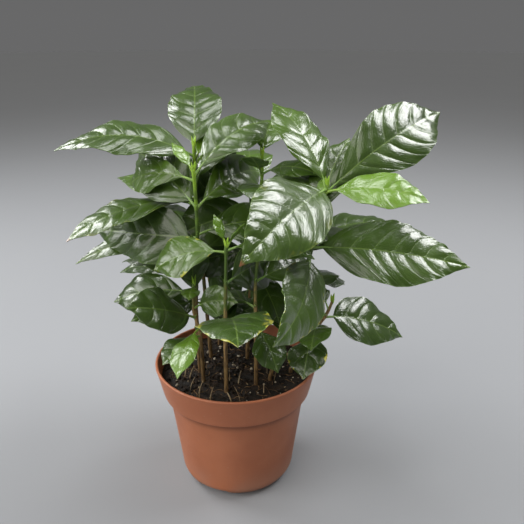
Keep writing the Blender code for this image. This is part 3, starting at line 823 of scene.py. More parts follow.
@dataclass(frozen=True)
class PotFinish:
    """Matt terracotta-coloured plastic with faint moulding streaks, a dusty foot and a painted shadow band
    under the collar's ledge.
    """

    clay: Triple = (0.400, 0.136, 0.060)
    deep: Triple = (0.315, 0.100, 0.044)
    dust: Triple = (0.400, 0.250, 0.180)
    # shaded, shade_starts and shade_ends set a painted shadow: a darker band on the body just under the
    # collar's ledge
    shaded: Triple = (0.5, 0.45, 0.42)
    dust_heights: Pair = (0.0, 0.03)
    shade_starts: Pair = (0.0640, 0.0690)
    shade_ends: Pair = (0.0722, 0.0726)

    def make(self) -> Material:
        """Build the material from noise round the pot and from its height.

        Returns:
            The material.
        """
        recipe = Recipe("terracotta_plastic")
        place = recipe.place()
        height = recipe.parts_of(place)[2]
        cloud = recipe.grain(place, scale=22.0, detail=4.0, rough=0.5)
        streak = recipe.grain(recipe.place((1.0, 1.0, 0.06)), scale=240.0)
        fine = recipe.grain(place, scale=1500.0, rough=0.6)
        colour = recipe.blend(recipe.ease(cloud, (0.32, 0.7), (0.0, 0.75)), self.clay, self.deep)
        colour = recipe.blend(recipe.ease(streak, (0.45, 0.8), (0.0, 0.16)), colour, self.deep)
        specks = recipe.grain(place, scale=520.0, detail=2.0, rough=0.4)
        colour = recipe.blend(recipe.ease(specks, (0.70, 0.78), (0.0, 0.35)), colour, self.dust)
        dusty = recipe.ease(height, self.dust_heights, (0.38, 0.0))
        colour = recipe.blend(recipe.times(dusty, recipe.ease(cloud, (0.4, 0.6))), colour, self.dust)
        # Painted shadow: darken the body in a band just under the collar's ledge, where the ledge casts its
        # shade
        over_start = recipe.ease(height, self.shade_starts)
        under_end = recipe.ease(height, self.shade_ends, FALL)
        shade = recipe.times(recipe.times(over_start, under_end), 0.7)
        colour = recipe.tint(colour, shade, self.shaded)
        recipe.relief(recipe.plus(recipe.times(fine, 0.3), streak), depth=0.00022, strength=0.4)
        roughness = recipe.ease(cloud, (0.3, 0.7), (0.42, 0.54))
        return recipe.surface(colour, roughness, Specular_IOR_Level=0.45)


@dataclass(frozen=True)
class StudioFinish:
    """Plain pale floor."""

    pale: Triple = (0.270, 0.278, 0.292)
    clouded: Triple = (0.92, 0.92, 0.93)

    def make(self) -> Material:
        """Build the material with hardly any pattern.

        Returns:
            The material.
        """
        recipe = Recipe("studio_floor")
        cloud = recipe.grain(recipe.place(), scale=3.0)
        colour = recipe.tint(self.pale, recipe.ease(cloud, (0.3, 0.7), (0.0, 0.2)), self.clouded)
        return recipe.surface(colour, 0.75, Specular_IOR_Level=0.25)


def finish_piece(
    name: str,
    shape: Shape,
    materials: list[Material],
    replaces: tuple[str, ...] = (),
    sharp: float = 50.0,
) -> bpy.types.Object:
    """Turn a bmesh into a finished piece that rides on the plant.

    Args:
        name: The piece's name.
        shape: Its geometry, which is freed.
        materials: Its materials, in slot order.
        replaces: The CAD nodes that it stands for.
        sharp: Edges that turn by more degrees than this stay sharp.

    Returns:
        The piece's object.
    """
    for face in shape.faces:
        face.smooth = True
    mesh = bpy.data.meshes.new(name)
    shape.to_mesh(mesh)
    shape.free()
    for material in materials:
        mesh.materials.append(material)
    mesh.set_sharp_from_angle(angle=math.radians(sharp))
    piece = bpy.data.objects.new(name, mesh)
    bpy.context.scene.collection.objects.link(piece)
    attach(piece, BODY)
    if replaces:
        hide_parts(*replaces)
    LOG.info("%s: %d faces", name, len(mesh.polygons))
    return piece


def smooth_path(points: list[Vector], spans: int) -> list[Vector]:
    """Catmull-Rom curve through the points.

    Args:
        points: Points that it passes.
        spans: Straight spans from each point to the next.

    Returns:
        Points of the curve.
    """
    ends = [2 * points[0] - points[1]] + points + [2 * points[-1] - points[-2]]
    path = []
    for before, start, end, after in zip(ends, ends[1:], ends[2:], ends[3:]):
        for step in range(spans):
            t = step / spans
            second = (2 * before - 5 * start + 4 * end - after) * t**2
            third = (3 * start - before - 3 * end + after) * t**3
            path.append(0.5 * (2 * start + (end - before) * t + second + third))
    path.append(points[-1])
    return path


def point_at_height(path: list[Vector], height: float) -> Vector:
    """Point of a rising path at a height.

    Args:
        path: The path.
        height: The height, which is taken as the path's end where it is over it.

    Returns:
        The point.
    """
    for start, end in zip(path, path[1:]):
        if start.z <= height <= end.z:
            return start.lerp(end, (height - start.z) / (end.z - start.z))
    return path[-1].copy()


@dataclass
class Tube:
    """A round shoot drawn along a path, with a radius at each of its points."""

    sides: int = 8

    def draw(self, shape: Shape, path: list[Vector], radii: list[float]) -> list[list[bmesh.types.BMVert]]:
        """Add the tube to a bmesh.

        Args:
            shape: The bmesh that gets it.
            path: Its middle line.
            radii: Its radius at each point.

        Returns:
            The ring of vertices at each point.
        """
        tangent = (path[1] - path[0]).normalized()
        turn = tangent.to_track_quat("Z", "Y").to_matrix()
        old = self._ring(path[0], turn, radii[0])
        first = bmesh.ops.create_circle(shape, cap_ends=True, segments=self.sides, radius=1.0)["verts"]
        bmesh.ops.transform(shape, matrix=old, verts=first)
        rings = [first]
        edges = list({edge for vertex in first for edge in vertex.link_edges})
        for number in range(1, len(path)):
            ahead = path[min(number + 1, len(path) - 1)] - path[number - 1]
            new_tangent = ahead.normalized()
            turn = tangent.rotation_difference(new_tangent).to_matrix() @ turn
            tangent = new_tangent
            new = self._ring(path[number], turn, radii[number])
            grown = bmesh.ops.extrude_edge_only(shape, edges=edges)["geom"]
            ring = [item for item in grown if isinstance(item, bmesh.types.BMVert)]
            edges = [item for item in grown if isinstance(item, bmesh.types.BMEdge) and item.is_boundary]
            bmesh.ops.transform(shape, matrix=new @ old.inverted(), verts=ring)
            rings.append(ring)
            old = new
        cap = bmesh.ops.edgeloop_fill(shape, edges=edges)["faces"]
        faces = {face for ring in rings for vertex in ring for face in vertex.link_faces}
        bmesh.ops.recalc_face_normals(shape, faces=list(faces | set(cap)))
        return rings

    @staticmethod
    def _ring(centre: Vector, turn: Matrix, radius: float) -> Matrix:
        """Place, turn and size of one ring."""
        return Matrix.Translation(centre) @ turn.to_4x4() @ Matrix.Scale(radius, 4)


@dataclass
class Spot:
    """One point of a blade's grid.

    Attributes:
        along: Place on the grid from foot to tip, -1 to 1.
        across: Share of the half width, -1 at the left edge to 1 at the right one.
        side: -1, 0 or 1 for left, middle and right.
        blade: Share of the blade from the end of the stalk to the tip.
        half: Half the blade's plain width there.
        wavy_half: The same with the scalloped edge.
        phase: Place among the side veins, which lie at whole numbers.
        fade: How fully the pattern of the surface shows, 0 at the blade's ends.
    """

    along: float
    across: float
    side: int
    blade: float
    half: float
    wavy_half: float
    phase: float
    fade: float


@dataclass
class Blade:
    """How a coffee blade is formed: fold, cup, waved edge and quilting between its veins.

    Lengths are in metres and angles in degrees. Cup, wave, ruffle and scallop are shares of
    the leaf's width or half width.
    """

    petiole: float = 7 * MM
    grid_foot: float = 0.55
    fold: float = 12.0
    cup: float = 0.25
    wave: float = 0.035
    wave_count: float = 2.5
    wave_side_shift: float = 2.0
    vein_spacing: float = 14.5 * MM
    vein_slant: float = 0.55
    vein_start: float = 0.35
    vein_sway: float = 0.16
    vein_sway_count: float = 1.6
    quilt: float = 0.85 * MM
    full_quilt_width: float = 34 * MM
    young_quilt_loss: float = 0.45
    ruffle: float = 0.019
    scallop: float = 0.010
    crumple: float = 0.25 * MM
    crumple_scales: Pair = (90, 180)
    panel_swell: float = 0.9
    puff_power: float = 0.7
    puff_level: float = 0.62
    flat_by_rib: float = 0.22
    fade_rates: Pair = (7, 6)
    outline_power: float = 0.9
    thickness: float = 0.5 * MM
    row_length: float = 1.25 * MM
    column_width: float = 1.75 * MM
    stalk_half: float = 0.5 * MM
    tip_half: float = 0.15 * MM
    tip_length: float = 0.22
    tip_taper: float = 0.4
    rib_radius: float = 0.95 * MM
    full_rib_length: float = 120 * MM
    least_rib: float = 0.45
    rib_end: float = 0.985
    rib_sunk: float = 0.62
    rib_steps: int = 14

    def half_width(self, leaf: Leaf, blade: float) -> float:
        """Half the leaf's width.

        Args:
            leaf: The leaf.
            blade: Share of the blade from the end of the stalk.

        Returns:
            The half width there.
        """
        if blade <= 0.0:
            return self.stalk_half
        outline = max(0.0, math.sin(math.pi * min(1.0, blade) ** leaf.belly)) ** self.outline_power
        towards_tip = min(1.0, max(0.0, (blade - 1.0 + self.tip_length) / self.tip_length))
        outline *= 1.0 - self.tip_taper * towards_tip**2 * (3 - 2 * towards_tip)
        return max(self.tip_half, leaf.width / 2 * outline)

    def edge_wave(self, leaf: Leaf, spot: Spot) -> float:
        """How far the waved edge stands over or under the blade.

        Args:
            leaf: The leaf.
            spot: The point, which also says the side.

        Returns:
            The height at the edge.
        """
        shift = math.radians(3 * leaf.compass) + (self.wave_side_shift if spot.across > 0 else 0.0)
        fade = min(1.0, 4 * max(0.0, spot.blade)) * min(1.0, 4 * (1.0 - spot.blade))
        return self.wave * leaf.width * fade * math.sin(math.tau * self.wave_count * spot.blade + shift)

    def spot(self, leaf: Leaf, place: Vector, blade: float, offsets: dict[int, float]) -> Spot:
        """Work out one point of the grid.

        Args:
            leaf: The leaf.
            place: The point on the flat grid.
            blade: Share of the blade from the end of the stalk.
            offsets: Shift of the side veins by side.

        Returns:
            The point.
        """
        across = -place.y
        side = (across > 0.01) - (across < -0.01)
        half = self.half_width(leaf, blade)
        sideways = abs(across) * half
        slant = self.vein_slant * sideways + self.vein_slant * sideways * across**2
        veins = max(3, round(leaf.length / self.vein_spacing))
        phase = veins * (blade - slant / leaf.length) + offsets[side] + self.vein_start
        sway = math.tau * self.vein_sway_count * blade + 9 * offsets[side] + leaf.compass
        phase += self.vein_sway * math.sin(sway)
        foot_rate, tip_rate = self.fade_rates
        fade = min(1.0, max(0.0, blade) * foot_rate) * min(1.0, (1.0 - blade) * tip_rate)
        wavy_half = half * (1.0 + self.scallop * math.cos(math.tau * phase) * fade)
        return Spot(place.x, across, side, blade, half, wavy_half, phase, fade)

    def height(self, leaf: Leaf, spot: Spot) -> float:
        """Height of the surface: fold and cup, quilting, waved and ruffled edge, and crumples.

        Args:
            leaf: The leaf.
            spot: The point.

        Returns:
            The height over the level through the midrib.
        """
        across, phase = spot.across, spot.phase
        height = (abs(across) * math.sin(math.radians(self.fold)) - self.cup * across**2) * spot.half
        quilt = self.quilt * min(1.0, leaf.width / self.full_quilt_width)
        quilt *= 1.0 - self.young_quilt_loss * leaf.age.value
        panel = Vector((1.37 * math.floor(phase), 3.1 * spot.side, 0.7 * leaf.compass))
        swell = 1.0 + self.panel_swell * noise.noise(panel)
        puff = swell * abs(math.sin(math.pi * phase)) ** self.puff_power - self.puff_level
        body = min(1.0, abs(across) / self.flat_by_rib) * (1.0 - 0.5 * across**4)
        height += quilt * puff * body * spot.fade
        height += self.edge_wave(leaf, spot) * across**2
        lively = 0.5 + 1.2 * abs(noise.noise(Vector((3 * spot.blade, across, leaf.compass))))
        ruffle = math.sin(math.tau * (phase + 0.2)) * across**4
        height += self.ruffle * leaf.width * lively * ruffle * spot.fade
        along = spot.along * leaf.length * self.crumple_scales[0]
        sideways = across * spot.wavy_half * self.crumple_scales[1]
        crumple = noise.noise(Vector((along, sideways, leaf.compass)))
        return height + self.crumple * crumple * body * spot.fade

    def add_to(self, shape: Shape, leaf: Leaf, base: Vector, tone: float) -> None:
        """Add one blade to a bmesh.

        Args:
            shape: The bmesh of the seedling's leaves.
            leaf: The leaf.
            base: Where it leaves the axis of the stem.
            tone: How light this leaf is among its neighbours, 0 to 1.
        """
        mapped = shape.verts.layers.float_vector["leaf_map"]
        kinds = shape.verts.layers.float_color["leaf_kind"]
        acrosses = shape.verts.layers.float["leaf_across"]
        stalk = self.petiole / leaf.length
        foot = stalk * self.grid_foot
        rows = max(12, round(leaf.length * (1 - foot) / self.row_length))
        columns = 2 * max(4, round(leaf.width / 2 / self.column_width))
        shares = [foot + (1 - foot) * row / rows for row in range(rows + 1)]
        ribs = leaf.midrib(base, shares)
        axes = [leaf.axes(share) for share in shares]
        draw = random.Random(f"{leaf.name}{leaf.compass}{leaf.height}")
        offsets = {-1: draw.uniform(0.0, 0.3), 1: draw.uniform(0.0, 0.3), 0: 0.15}
        level = math.cos(math.radians(self.fold))
        for vertex in bmesh.ops.create_grid(shape, x_segments=rows, y_segments=columns, size=1.0)["verts"]:
            row = round((vertex.co.x + 1.0) / 2 * rows)
            spot = self.spot(leaf, vertex.co, (shares[row] - stalk) / (1.0 - stalk), offsets)
            right, upper = axes[row][1:]
            sideways = right * (spot.across * spot.wavy_half * level)
            vertex.co = ribs[row] + sideways + upper * self.height(leaf, spot)
            vertex[mapped] = (spot.phase, abs(spot.across) * spot.half / MM, max(0.0, spot.blade))
            vertex[kinds] = (leaf.age.value, tone, *leaf.mark.value)
            vertex[acrosses] = abs(spot.across)

    def add_rib(self, shape: Shape, leaf: Leaf, base: Vector, tone: float) -> None:
        """Add one petiole with the midrib that it runs on into.

        Args:
            shape: The bmesh of the seedling's ribs.
            leaf: The leaf.
            base: Where it leaves the axis of the stem.
            tone: How light this leaf is among its neighbours, 0 to 1.
        """
        kinds = shape.verts.layers.float_color["leaf_kind"]
        foot = self.petiole / leaf.length
        size = self.rib_radius * min(1.0, self.least_rib + leaf.length / self.full_rib_length)
        shares = [0.0, foot * 0.35, foot * 0.7]
        radii = [size * 1.25, size * 1.05, size * 0.95]
        for step in range(self.rib_steps + 1):
            shares.append(foot + (self.rib_end - foot) * step / self.rib_steps)
            radii.append(size * (0.85 - 0.67 * step / self.rib_steps))
        path = []
        for share, radius, point in zip(shares, radii, leaf.midrib(base, shares)):
            sunk = self.rib_sunk if share > foot else 0.0
            path.append(point - leaf.axes(share)[2] * radius * sunk)
        for ring in Tube(sides=7).draw(shape, path, radii):
            for vertex in ring:
                vertex[kinds] = (leaf.age.value, tone, 0.0, 0.0)


@dataclass
class Shoot:
    """One seedling's stem, leaves, petioles, stipules and end bud."""

    design: Seedling
    blade: Blade
    stem_foot: float = 74.7 * MM
    straight_top: float = 89 * MM
    foot_radius: float = 1.6 * MM
    tip_radius: float = 1.05 * MM
    path_step: float = 1.5 * MM
    node_swell: float = 0.35 * MM
    node_reach: float = 1.6 * MM
    unevenness: float = 0.12 * MM
    uneven_scale: float = 260
    bark_foot: float = 85 * MM
    green_top: float = 245 * MM
    bud_length: float = 8 * MM
    bud_width: float = 3.2 * MM
    stipule_length: float = 3.2 * MM
    stipule_width: float = 2.2 * MM
    scale_flattening: float = 0.62
    path: list[Vector] = field(default_factory=list)

    def __post_init__(self) -> None:
        """Work out the stem's middle line."""
        x, y = self.design.stem[0][:2]
        points = [Vector((x, y, self.straight_top)), *map(Vector, self.design.stem[1:])]
        self.path = [Vector((x, y, self.stem_foot)), *smooth_path(points, spans=2)]

    def fine_path(self) -> list[Vector]:
        """Set points closer on the stem's middle line.

        Returns:
            The points.
        """
        fine = []
        for start, end in zip(self.path, self.path[1:]):
            steps = max(1, round((end - start).length / self.path_step))
            fine += [start.lerp(end, step / steps) for step in range(steps)]
        return fine + [self.path[-1]]

    def build(self, finishes: dict[str, Material]) -> None:
        """Make the seedling's pieces.

        Args:
            finishes: The plant's materials by name.
        """
        self.build_stem(finishes["stem"])
        self.build_leaves(finishes["leaf"], finishes["underside"])
        self.build_ribs(finishes["rib"])

    def build_stem(self, material: Material) -> None:
        """Stem with swollen nodes and a slightly crooked surface.

        Args:
            material: Its material.
        """
        shape = bmesh.new()
        heights = shape.verts.layers.float.new("stem_height")
        path = self.fine_path()
        low, high = path[0].z, path[-1].z
        radii = []
        for point in path:
            share = (point.z - low) / (high - low)
            radius = self.foot_radius + (self.tip_radius - self.foot_radius) * share
            for leaf in self.design.leaves:
                gap = (point.z - leaf.height) / self.node_reach
                radius += self.node_swell * 0.5 * math.exp(-gap * gap)
            radius += self.unevenness * noise.noise(point * self.uneven_scale)
            radii.append(radius)
        for point, ring in zip(path, Tube(sides=12).draw(shape, path, radii)):
            for vertex in ring:
                vertex[heights] = (point.z - self.bark_foot) / (self.green_top - self.bark_foot)
        finish_piece(f"{self.design.name}_stem", shape, [material], (self.design.name,))

    def tone_of(self, leaf: Leaf) -> float:
        """Lightness of a leaf, drawn once from its name and place."""
        return random.Random(f"{self.design.name}{leaf.name}").uniform(0.0, 1.0)

    def build_leaves(self, upper: Material, under: Material) -> None:
        """All blades of the seedling as thin closed shells.

        Args:
            upper: Material of their upper sides.
            under: Material of their undersides.
        """
        name = f"{self.design.name}_leaves"
        shape = bmesh.new()
        shape.verts.layers.float_vector.new("leaf_map")
        shape.verts.layers.float_color.new("leaf_kind")
        shape.verts.layers.float.new("leaf_across")
        for leaf in self.design.leaves:
            self.blade.add_to(shape, leaf, point_at_height(self.path, leaf.height), self.tone_of(leaf))
        draft_mesh = bpy.data.meshes.new(f"{name}_draft")
        shape.to_mesh(draft_mesh)
        shape.free()
        draft_mesh.materials.append(upper)
        draft_mesh.materials.append(under)
        draft = bpy.data.objects.new(f"{name}_draft", draft_mesh)
        bpy.context.scene.collection.objects.link(draft)
        wall = draft.modifiers.new("wall", "SOLIDIFY")
        wall.thickness = self.blade.thickness
        wall.offset = 0.0
        wall.material_offset = 1
        solid = bmesh.new()
        solid.from_object(draft, bpy.context.evaluated_depsgraph_get())
        bpy.data.objects.remove(draft, do_unlink=True)
        finish_piece(name, solid, [upper, under], (self.design.name,), sharp=60.0)

    def small_leaves(self) -> list[tuple[Leaf, Vector]]:
        """Stipules at each node and the folded pair of the end bud.

        Returns:
            Each of them with its place.
        """
        found = []
        for leaf in self.design.leaves:
            place = point_at_height(self.path, leaf.height + 0.5 * MM)
            for side in (-90, 90):
                size = (self.stipule_length, self.stipule_width)
                stipule = self._scale(leaf.height, leaf.compass + side, (66, 10), size, 0.6, Age.FRESH)
                found.append((stipule, place))
        tip = self.path[-1]
        bud_foot = tip - Vector((0.0, 0.0, 1.5 * MM))
        for side in (35, 215):
            half = self._scale(tip.z, side, (82, 8), (self.bud_length, self.bud_width), 0.8, Age.YOUNG)
            found.append((half, bud_foot))
        return found

    @staticmethod
    def _scale(height: float, compass: float, slopes: Pair, size: Pair, belly: float, age: Age) -> Leaf:
        """Describe a small pointed scale as a leaf without swing, turn and twist."""
        return Leaf("scale", height, compass, *slopes, 0, *size, 0, 0, belly, age)

    def build_ribs(self, material: Material) -> None:
        """Petioles, midribs, stipules and the end bud.

        Args:
            material: Their material.
        """
        shape = bmesh.new()
        shape.verts.layers.float_color.new("leaf_kind")
        for leaf in self.design.leaves:
            self.blade.add_rib(shape, leaf, point_at_height(self.path, leaf.height), self.tone_of(leaf))
        for leaf, place in self.small_leaves():
            self._add_scale(shape, leaf, place)
        node = self.design.name
        finish_piece(f"{node}_ribs", shape, [material], (node,), sharp=60.0)

    def _add_scale(self, shape: Shape, leaf: Leaf, place: Vector) -> None:
        """Add a small thick pointed leaf to a bmesh.

        Args:
            shape: The bmesh of the seedling's ribs.
            leaf: The small leaf.
            place: Where its foot is.
        """
        kinds = shape.verts.layers.float_color["leaf_kind"]
        shares = [0.0, 0.25, 0.55, 0.8, 1.0]
        radii = [leaf.width / 2 * width for width in (0.75, 1.0, 0.8, 0.45, 0.06)]
        path = leaf.midrib(place, shares)
        for share, ring in zip(shares, Tube(sides=6).draw(shape, path, radii)):
            upper = leaf.axes(share)[2]
            centre = sum((vertex.co for vertex in ring), Vector()) / len(ring)
            for vertex in ring:
                vertex.co -= upper * (vertex.co - centre).dot(upper) * self.scale_flattening
                vertex[kinds] = (leaf.age.value, 0.5, 0.0, 0.0)


@dataclass
class NurseryPot:
    """Turned plastic pot: rolled lip, stepped collar, tapering body and slotted foot.

    Lengths are in metres and angles in degrees. collar_drops are the millimetres below the
    rim at which the collar has a ring of points, and body_shares the shares of the body's
    height at which the body has one.
    """

    height: float = 95.3 * MM
    rim_radius: float = 60 * MM
    lip: float = 2.2 * MM
    collar_height: float = 23.2 * MM
    collar_foot_radius: float = 54.9 * MM
    collar_foot_round: float = 0.8 * MM
    collar_drops: tuple[float, ...] = (2.2, 5.0, 11.0, 17.0)
    body_top_radius: float = 51.0 * MM
    body_top_round: float = 1.0 * MM
    body_foot_radius: float = 43.1 * MM
    body_shares: tuple[float, ...] = (0.3, 0.6, 0.9)
    bottom_round: float = 10.9 * MM
    wall: float = 1.6 * MM
    foot_height: float = 2.6 * MM
    foot_width: float = 2.2 * MM
    foot_taper: float = 0.3 * MM
    floor: float = 1.6 * MM
    pad_radius: float = 8 * MM
    pad_taper: float = 0.4 * MM
    inner_round: float = 8 * MM
    inner_bevel: float = 0.4 * MM
    slot_height: float = 6.0 * MM
    slot_skin: float = 1.2 * MM
    slot_compass: float = -116.0
    slot_half_angle: float = 16.5
    slot_side: float = 3.0
    slot_count: int = 3
    hole_radius: float = 3.5 * MM
    hole_circle: float = 19 * MM
    hole_half_angle: float = 10.0
    hole_count: int = 6
    steps: int = 144

    @staticmethod
    def arc(centre: Pair, radius: float, start: float, end: float, steps: int) -> Profile:
        """Set points on a round.

        Args:
            centre: Its middle.
            radius: Its radius.
            start: Angle of the first point, in degrees.
            end: Angle of the last point, in degrees.
            steps: Spans between the points.

        Returns:
            The points.
        """
        found = []
        for step in range(steps + 1):
            angle = math.radians(start + (end - start) * step / steps)
            found.append((centre[0] + radius * math.cos(angle), centre[1] + radius * math.sin(angle)))
        return found

    def floor_rings(self, height: float) -> Profile:
        """Points on one skin of the floor, before, at and past the circle of its holes."""
        return [(self.hole_circle + shift, height) for shift in (-self.hole_radius, 0.0, self.hole_radius)]

    def inner_profile(self) -> Profile:
        """Inside of the pot from the middle of its floor to the lip.

        Returns:
            Points as radius and height.
        """
        floor = self.foot_height + self.floor
        step = self.height - self.collar_height
        foot = self.body_foot_radius - self.wall
        collar_foot = self.collar_foot_radius - self.wall
        profile = [(0.0, floor)] + self.floor_rings(floor)
        profile += self.arc((foot - self.inner_round, floor + self.inner_round), self.inner_round, -90, 0, 8)
        profile.append((self.body_top_radius - self.wall, step - 1.2 * MM))
        profile.append((collar_foot - self.inner_bevel, step + self.wall - 0.1 * MM))
        profile.append((collar_foot, step + self.wall + self.inner_bevel))
        profile.append((self.rim_radius - self.lip, self.height - self.lip / 2))
        return profile

    def outer_profile(self) -> Profile:
        """Lip, collar, body and underside.

        Returns:
            Points as radius and height, from the inside of the lip to the middle of the pad.
        """
        step = self.height - self.collar_height
        half_lip = self.lip / 2
        profile = self.arc((self.rim_radius - half_lip, self.height - half_lip), half_lip, 180, 0, 10)[1:]
        slope = (self.rim_radius - self.collar_foot_radius) / self.collar_height
        for drop in self.collar_drops:
            profile.append((self.rim_radius - slope * drop * MM, self.height - drop * MM))
        edge = self.collar_foot_round
        profile += self.arc((self.collar_foot_radius - edge, step + edge), edge, 0, -90, 4)
        corner = self.body_top_round
        profile.append((self.body_top_radius + corner, step))
        profile += self.arc((self.body_top_radius + corner, step - corner), corner, 90, 180, 4)[1:]
        low = self.bottom_round
        for share in self.body_shares:
            radius = self.body_top_radius + (self.body_foot_radius - self.body_top_radius) * share
            profile.append((radius, step + (low - step) * share))
        ring = self.body_foot_radius - low
        profile += self.arc((ring, low), low, 0, -90, 14)
        profile.append((ring - self.foot_width, 0.0))
        profile.append((ring - self.foot_width - self.foot_taper, self.foot_height))
        profile += self.floor_rings(self.foot_height)[::-1]
        profile.append((self.pad_radius + self.pad_taper, self.foot_height))
        return profile + [(self.pad_radius, 0.0), (0.0, 0.0)]

    def spin(self, profile: Profile, steps: int) -> Shape:
        """Turn a profile about the pot's axis.

        Args:
            profile: Points as radius and height.
            steps: Faces round the axis.

        Returns:
            A closed bmesh whose faces point outwards.
        """
        shape = bmesh.new()
        points = [shape.verts.new((radius, 0.0, height)) for radius, height in profile]
        edges = [shape.edges.new(pair) for pair in zip(points, points[1:])]
        bmesh.ops.spin(
            shape,
            geom=points + edges,
            cent=(0, 0, 0),
            axis=(0, 0, 1),
            angle=math.tau,
            steps=steps,
            use_merge=True,
        )
        bmesh.ops.remove_doubles(shape, verts=shape.verts, dist=0.01 * MM)
        bmesh.ops.dissolve_degenerate(shape, edges=shape.edges, dist=0.005 * MM)
        bmesh.ops.recalc_face_normals(shape, faces=shape.faces)
        return shape

    def slot_roof(self, vertex: Vector) -> float:
        """Height that a slot reaches over a point and still leaves the skin above it whole.

        Args:
            vertex: The point, of which only the distance from the axis counts.

        Returns:
            The height above the ground.
        """
        skin = self.foot_height + self.floor
        past_floor = vertex.to_2d().length - (self.body_foot_radius - self.wall - self.inner_round)
        if past_floor >= self.inner_round:
            return self.slot_height
        if past_floor > 0:
            skin += self.inner_round - math.sqrt(self.inner_round**2 - past_floor**2)
        return min(self.slot_height, skin - self.slot_skin)

    def slot_share(self, vertex: Vector) -> float:
        """How fully a point of the foot lies in a drainage slot.

        Args:
            vertex: The point, of which only the direction from the axis counts.

        Returns:
            0 outside the slots to 1 in one.
        """
        compass = math.degrees(math.atan2(vertex.y, vertex.x))
        pitch = 360 / self.slot_count
        gap = abs((compass - self.slot_compass + pitch / 2) % pitch - pitch / 2)
        return min(1.0, max(0.0, (self.slot_half_angle + self.slot_side / 2 - gap) / self.slot_side))

    def build(self, material: Material) -> None:
        """Make the pot's piece.

        Args:
            material: Its material.
        """
        shape = self.spin(self.inner_profile() + self.outer_profile(), self.steps)
        for vertex in shape.verts:
            roof = self.slot_roof(vertex.co)
            if vertex.co.z < roof and vertex.co.to_2d().length > self.pad_radius + 1 * MM:
                vertex.co.z = max(vertex.co.z, roof * self.slot_share(vertex.co))
        for number in range(self.hole_count):
            self.open_floor_hole(shape, math.tau * (number + 0.5) / self.hole_count)
        bmesh.ops.recalc_face_normals(shape, faces=shape.faces)
        finish_piece("pot_shell", shape, [material], ("pot",), sharp=40.0)

    def open_floor_hole(self, shape: Shape, angle: float) -> None:
        """Open one round hole in the floor, with a wall from skin to skin.

        Args:
            shape: The bmesh of the pot.
            angle: Direction of the hole from the pot's axis.
        """
        centre = Vector((self.hole_circle * math.cos(angle), self.hole_circle * math.sin(angle), 0.0))
        inside = []
        for face in shape.faces:
            middle = face.calc_center_median()
            turn = math.degrees(math.atan2(middle.y, middle.x) - angle)
            turn = abs((turn + 180) % 360 - 180)
            on_ring = abs(middle.to_2d().length - self.hole_circle) < self.hole_radius
            if on_ring and turn < self.hole_half_angle and middle.z < self.inner_round:
                inside.append(face)
        edges = {edge for face in inside for edge in face.edges}
        bmesh.ops.delete(shape, geom=inside, context="FACES")
        rim = [edge for edge in edges if edge.is_valid and edge.is_boundary]
        for vertex in {vertex for edge in rim for vertex in edge.verts}:
            out = Vector((vertex.co.x - centre.x, vertex.co.y - centre.y, 0.0)).normalized()
            vertex.co.x = centre.x + out.x * self.hole_radius
            vertex.co.y = centre.y + out.y * self.hole_radius
        walls = bmesh.ops.bridge_loops(shape, edges=rim)["faces"]
        bmesh.ops.recalc_face_normals(shape, faces=walls)


@dataclass(frozen=True)
class Lumps:
    """One kind of small uneven bits that lie on the soil.

    Attributes:
        finish: Name of their finish.
        name: Name of their piece.
        count: How many there are.
        sizes: Smallest and largest radius, in millimetres.
        stretch: Share of that radius along each of a bit's axes.
        seed: Seed of the draw.
    """

    finish: str
    name: str
    count: int
    sizes: Pair
    stretch: Triple
    seed: int


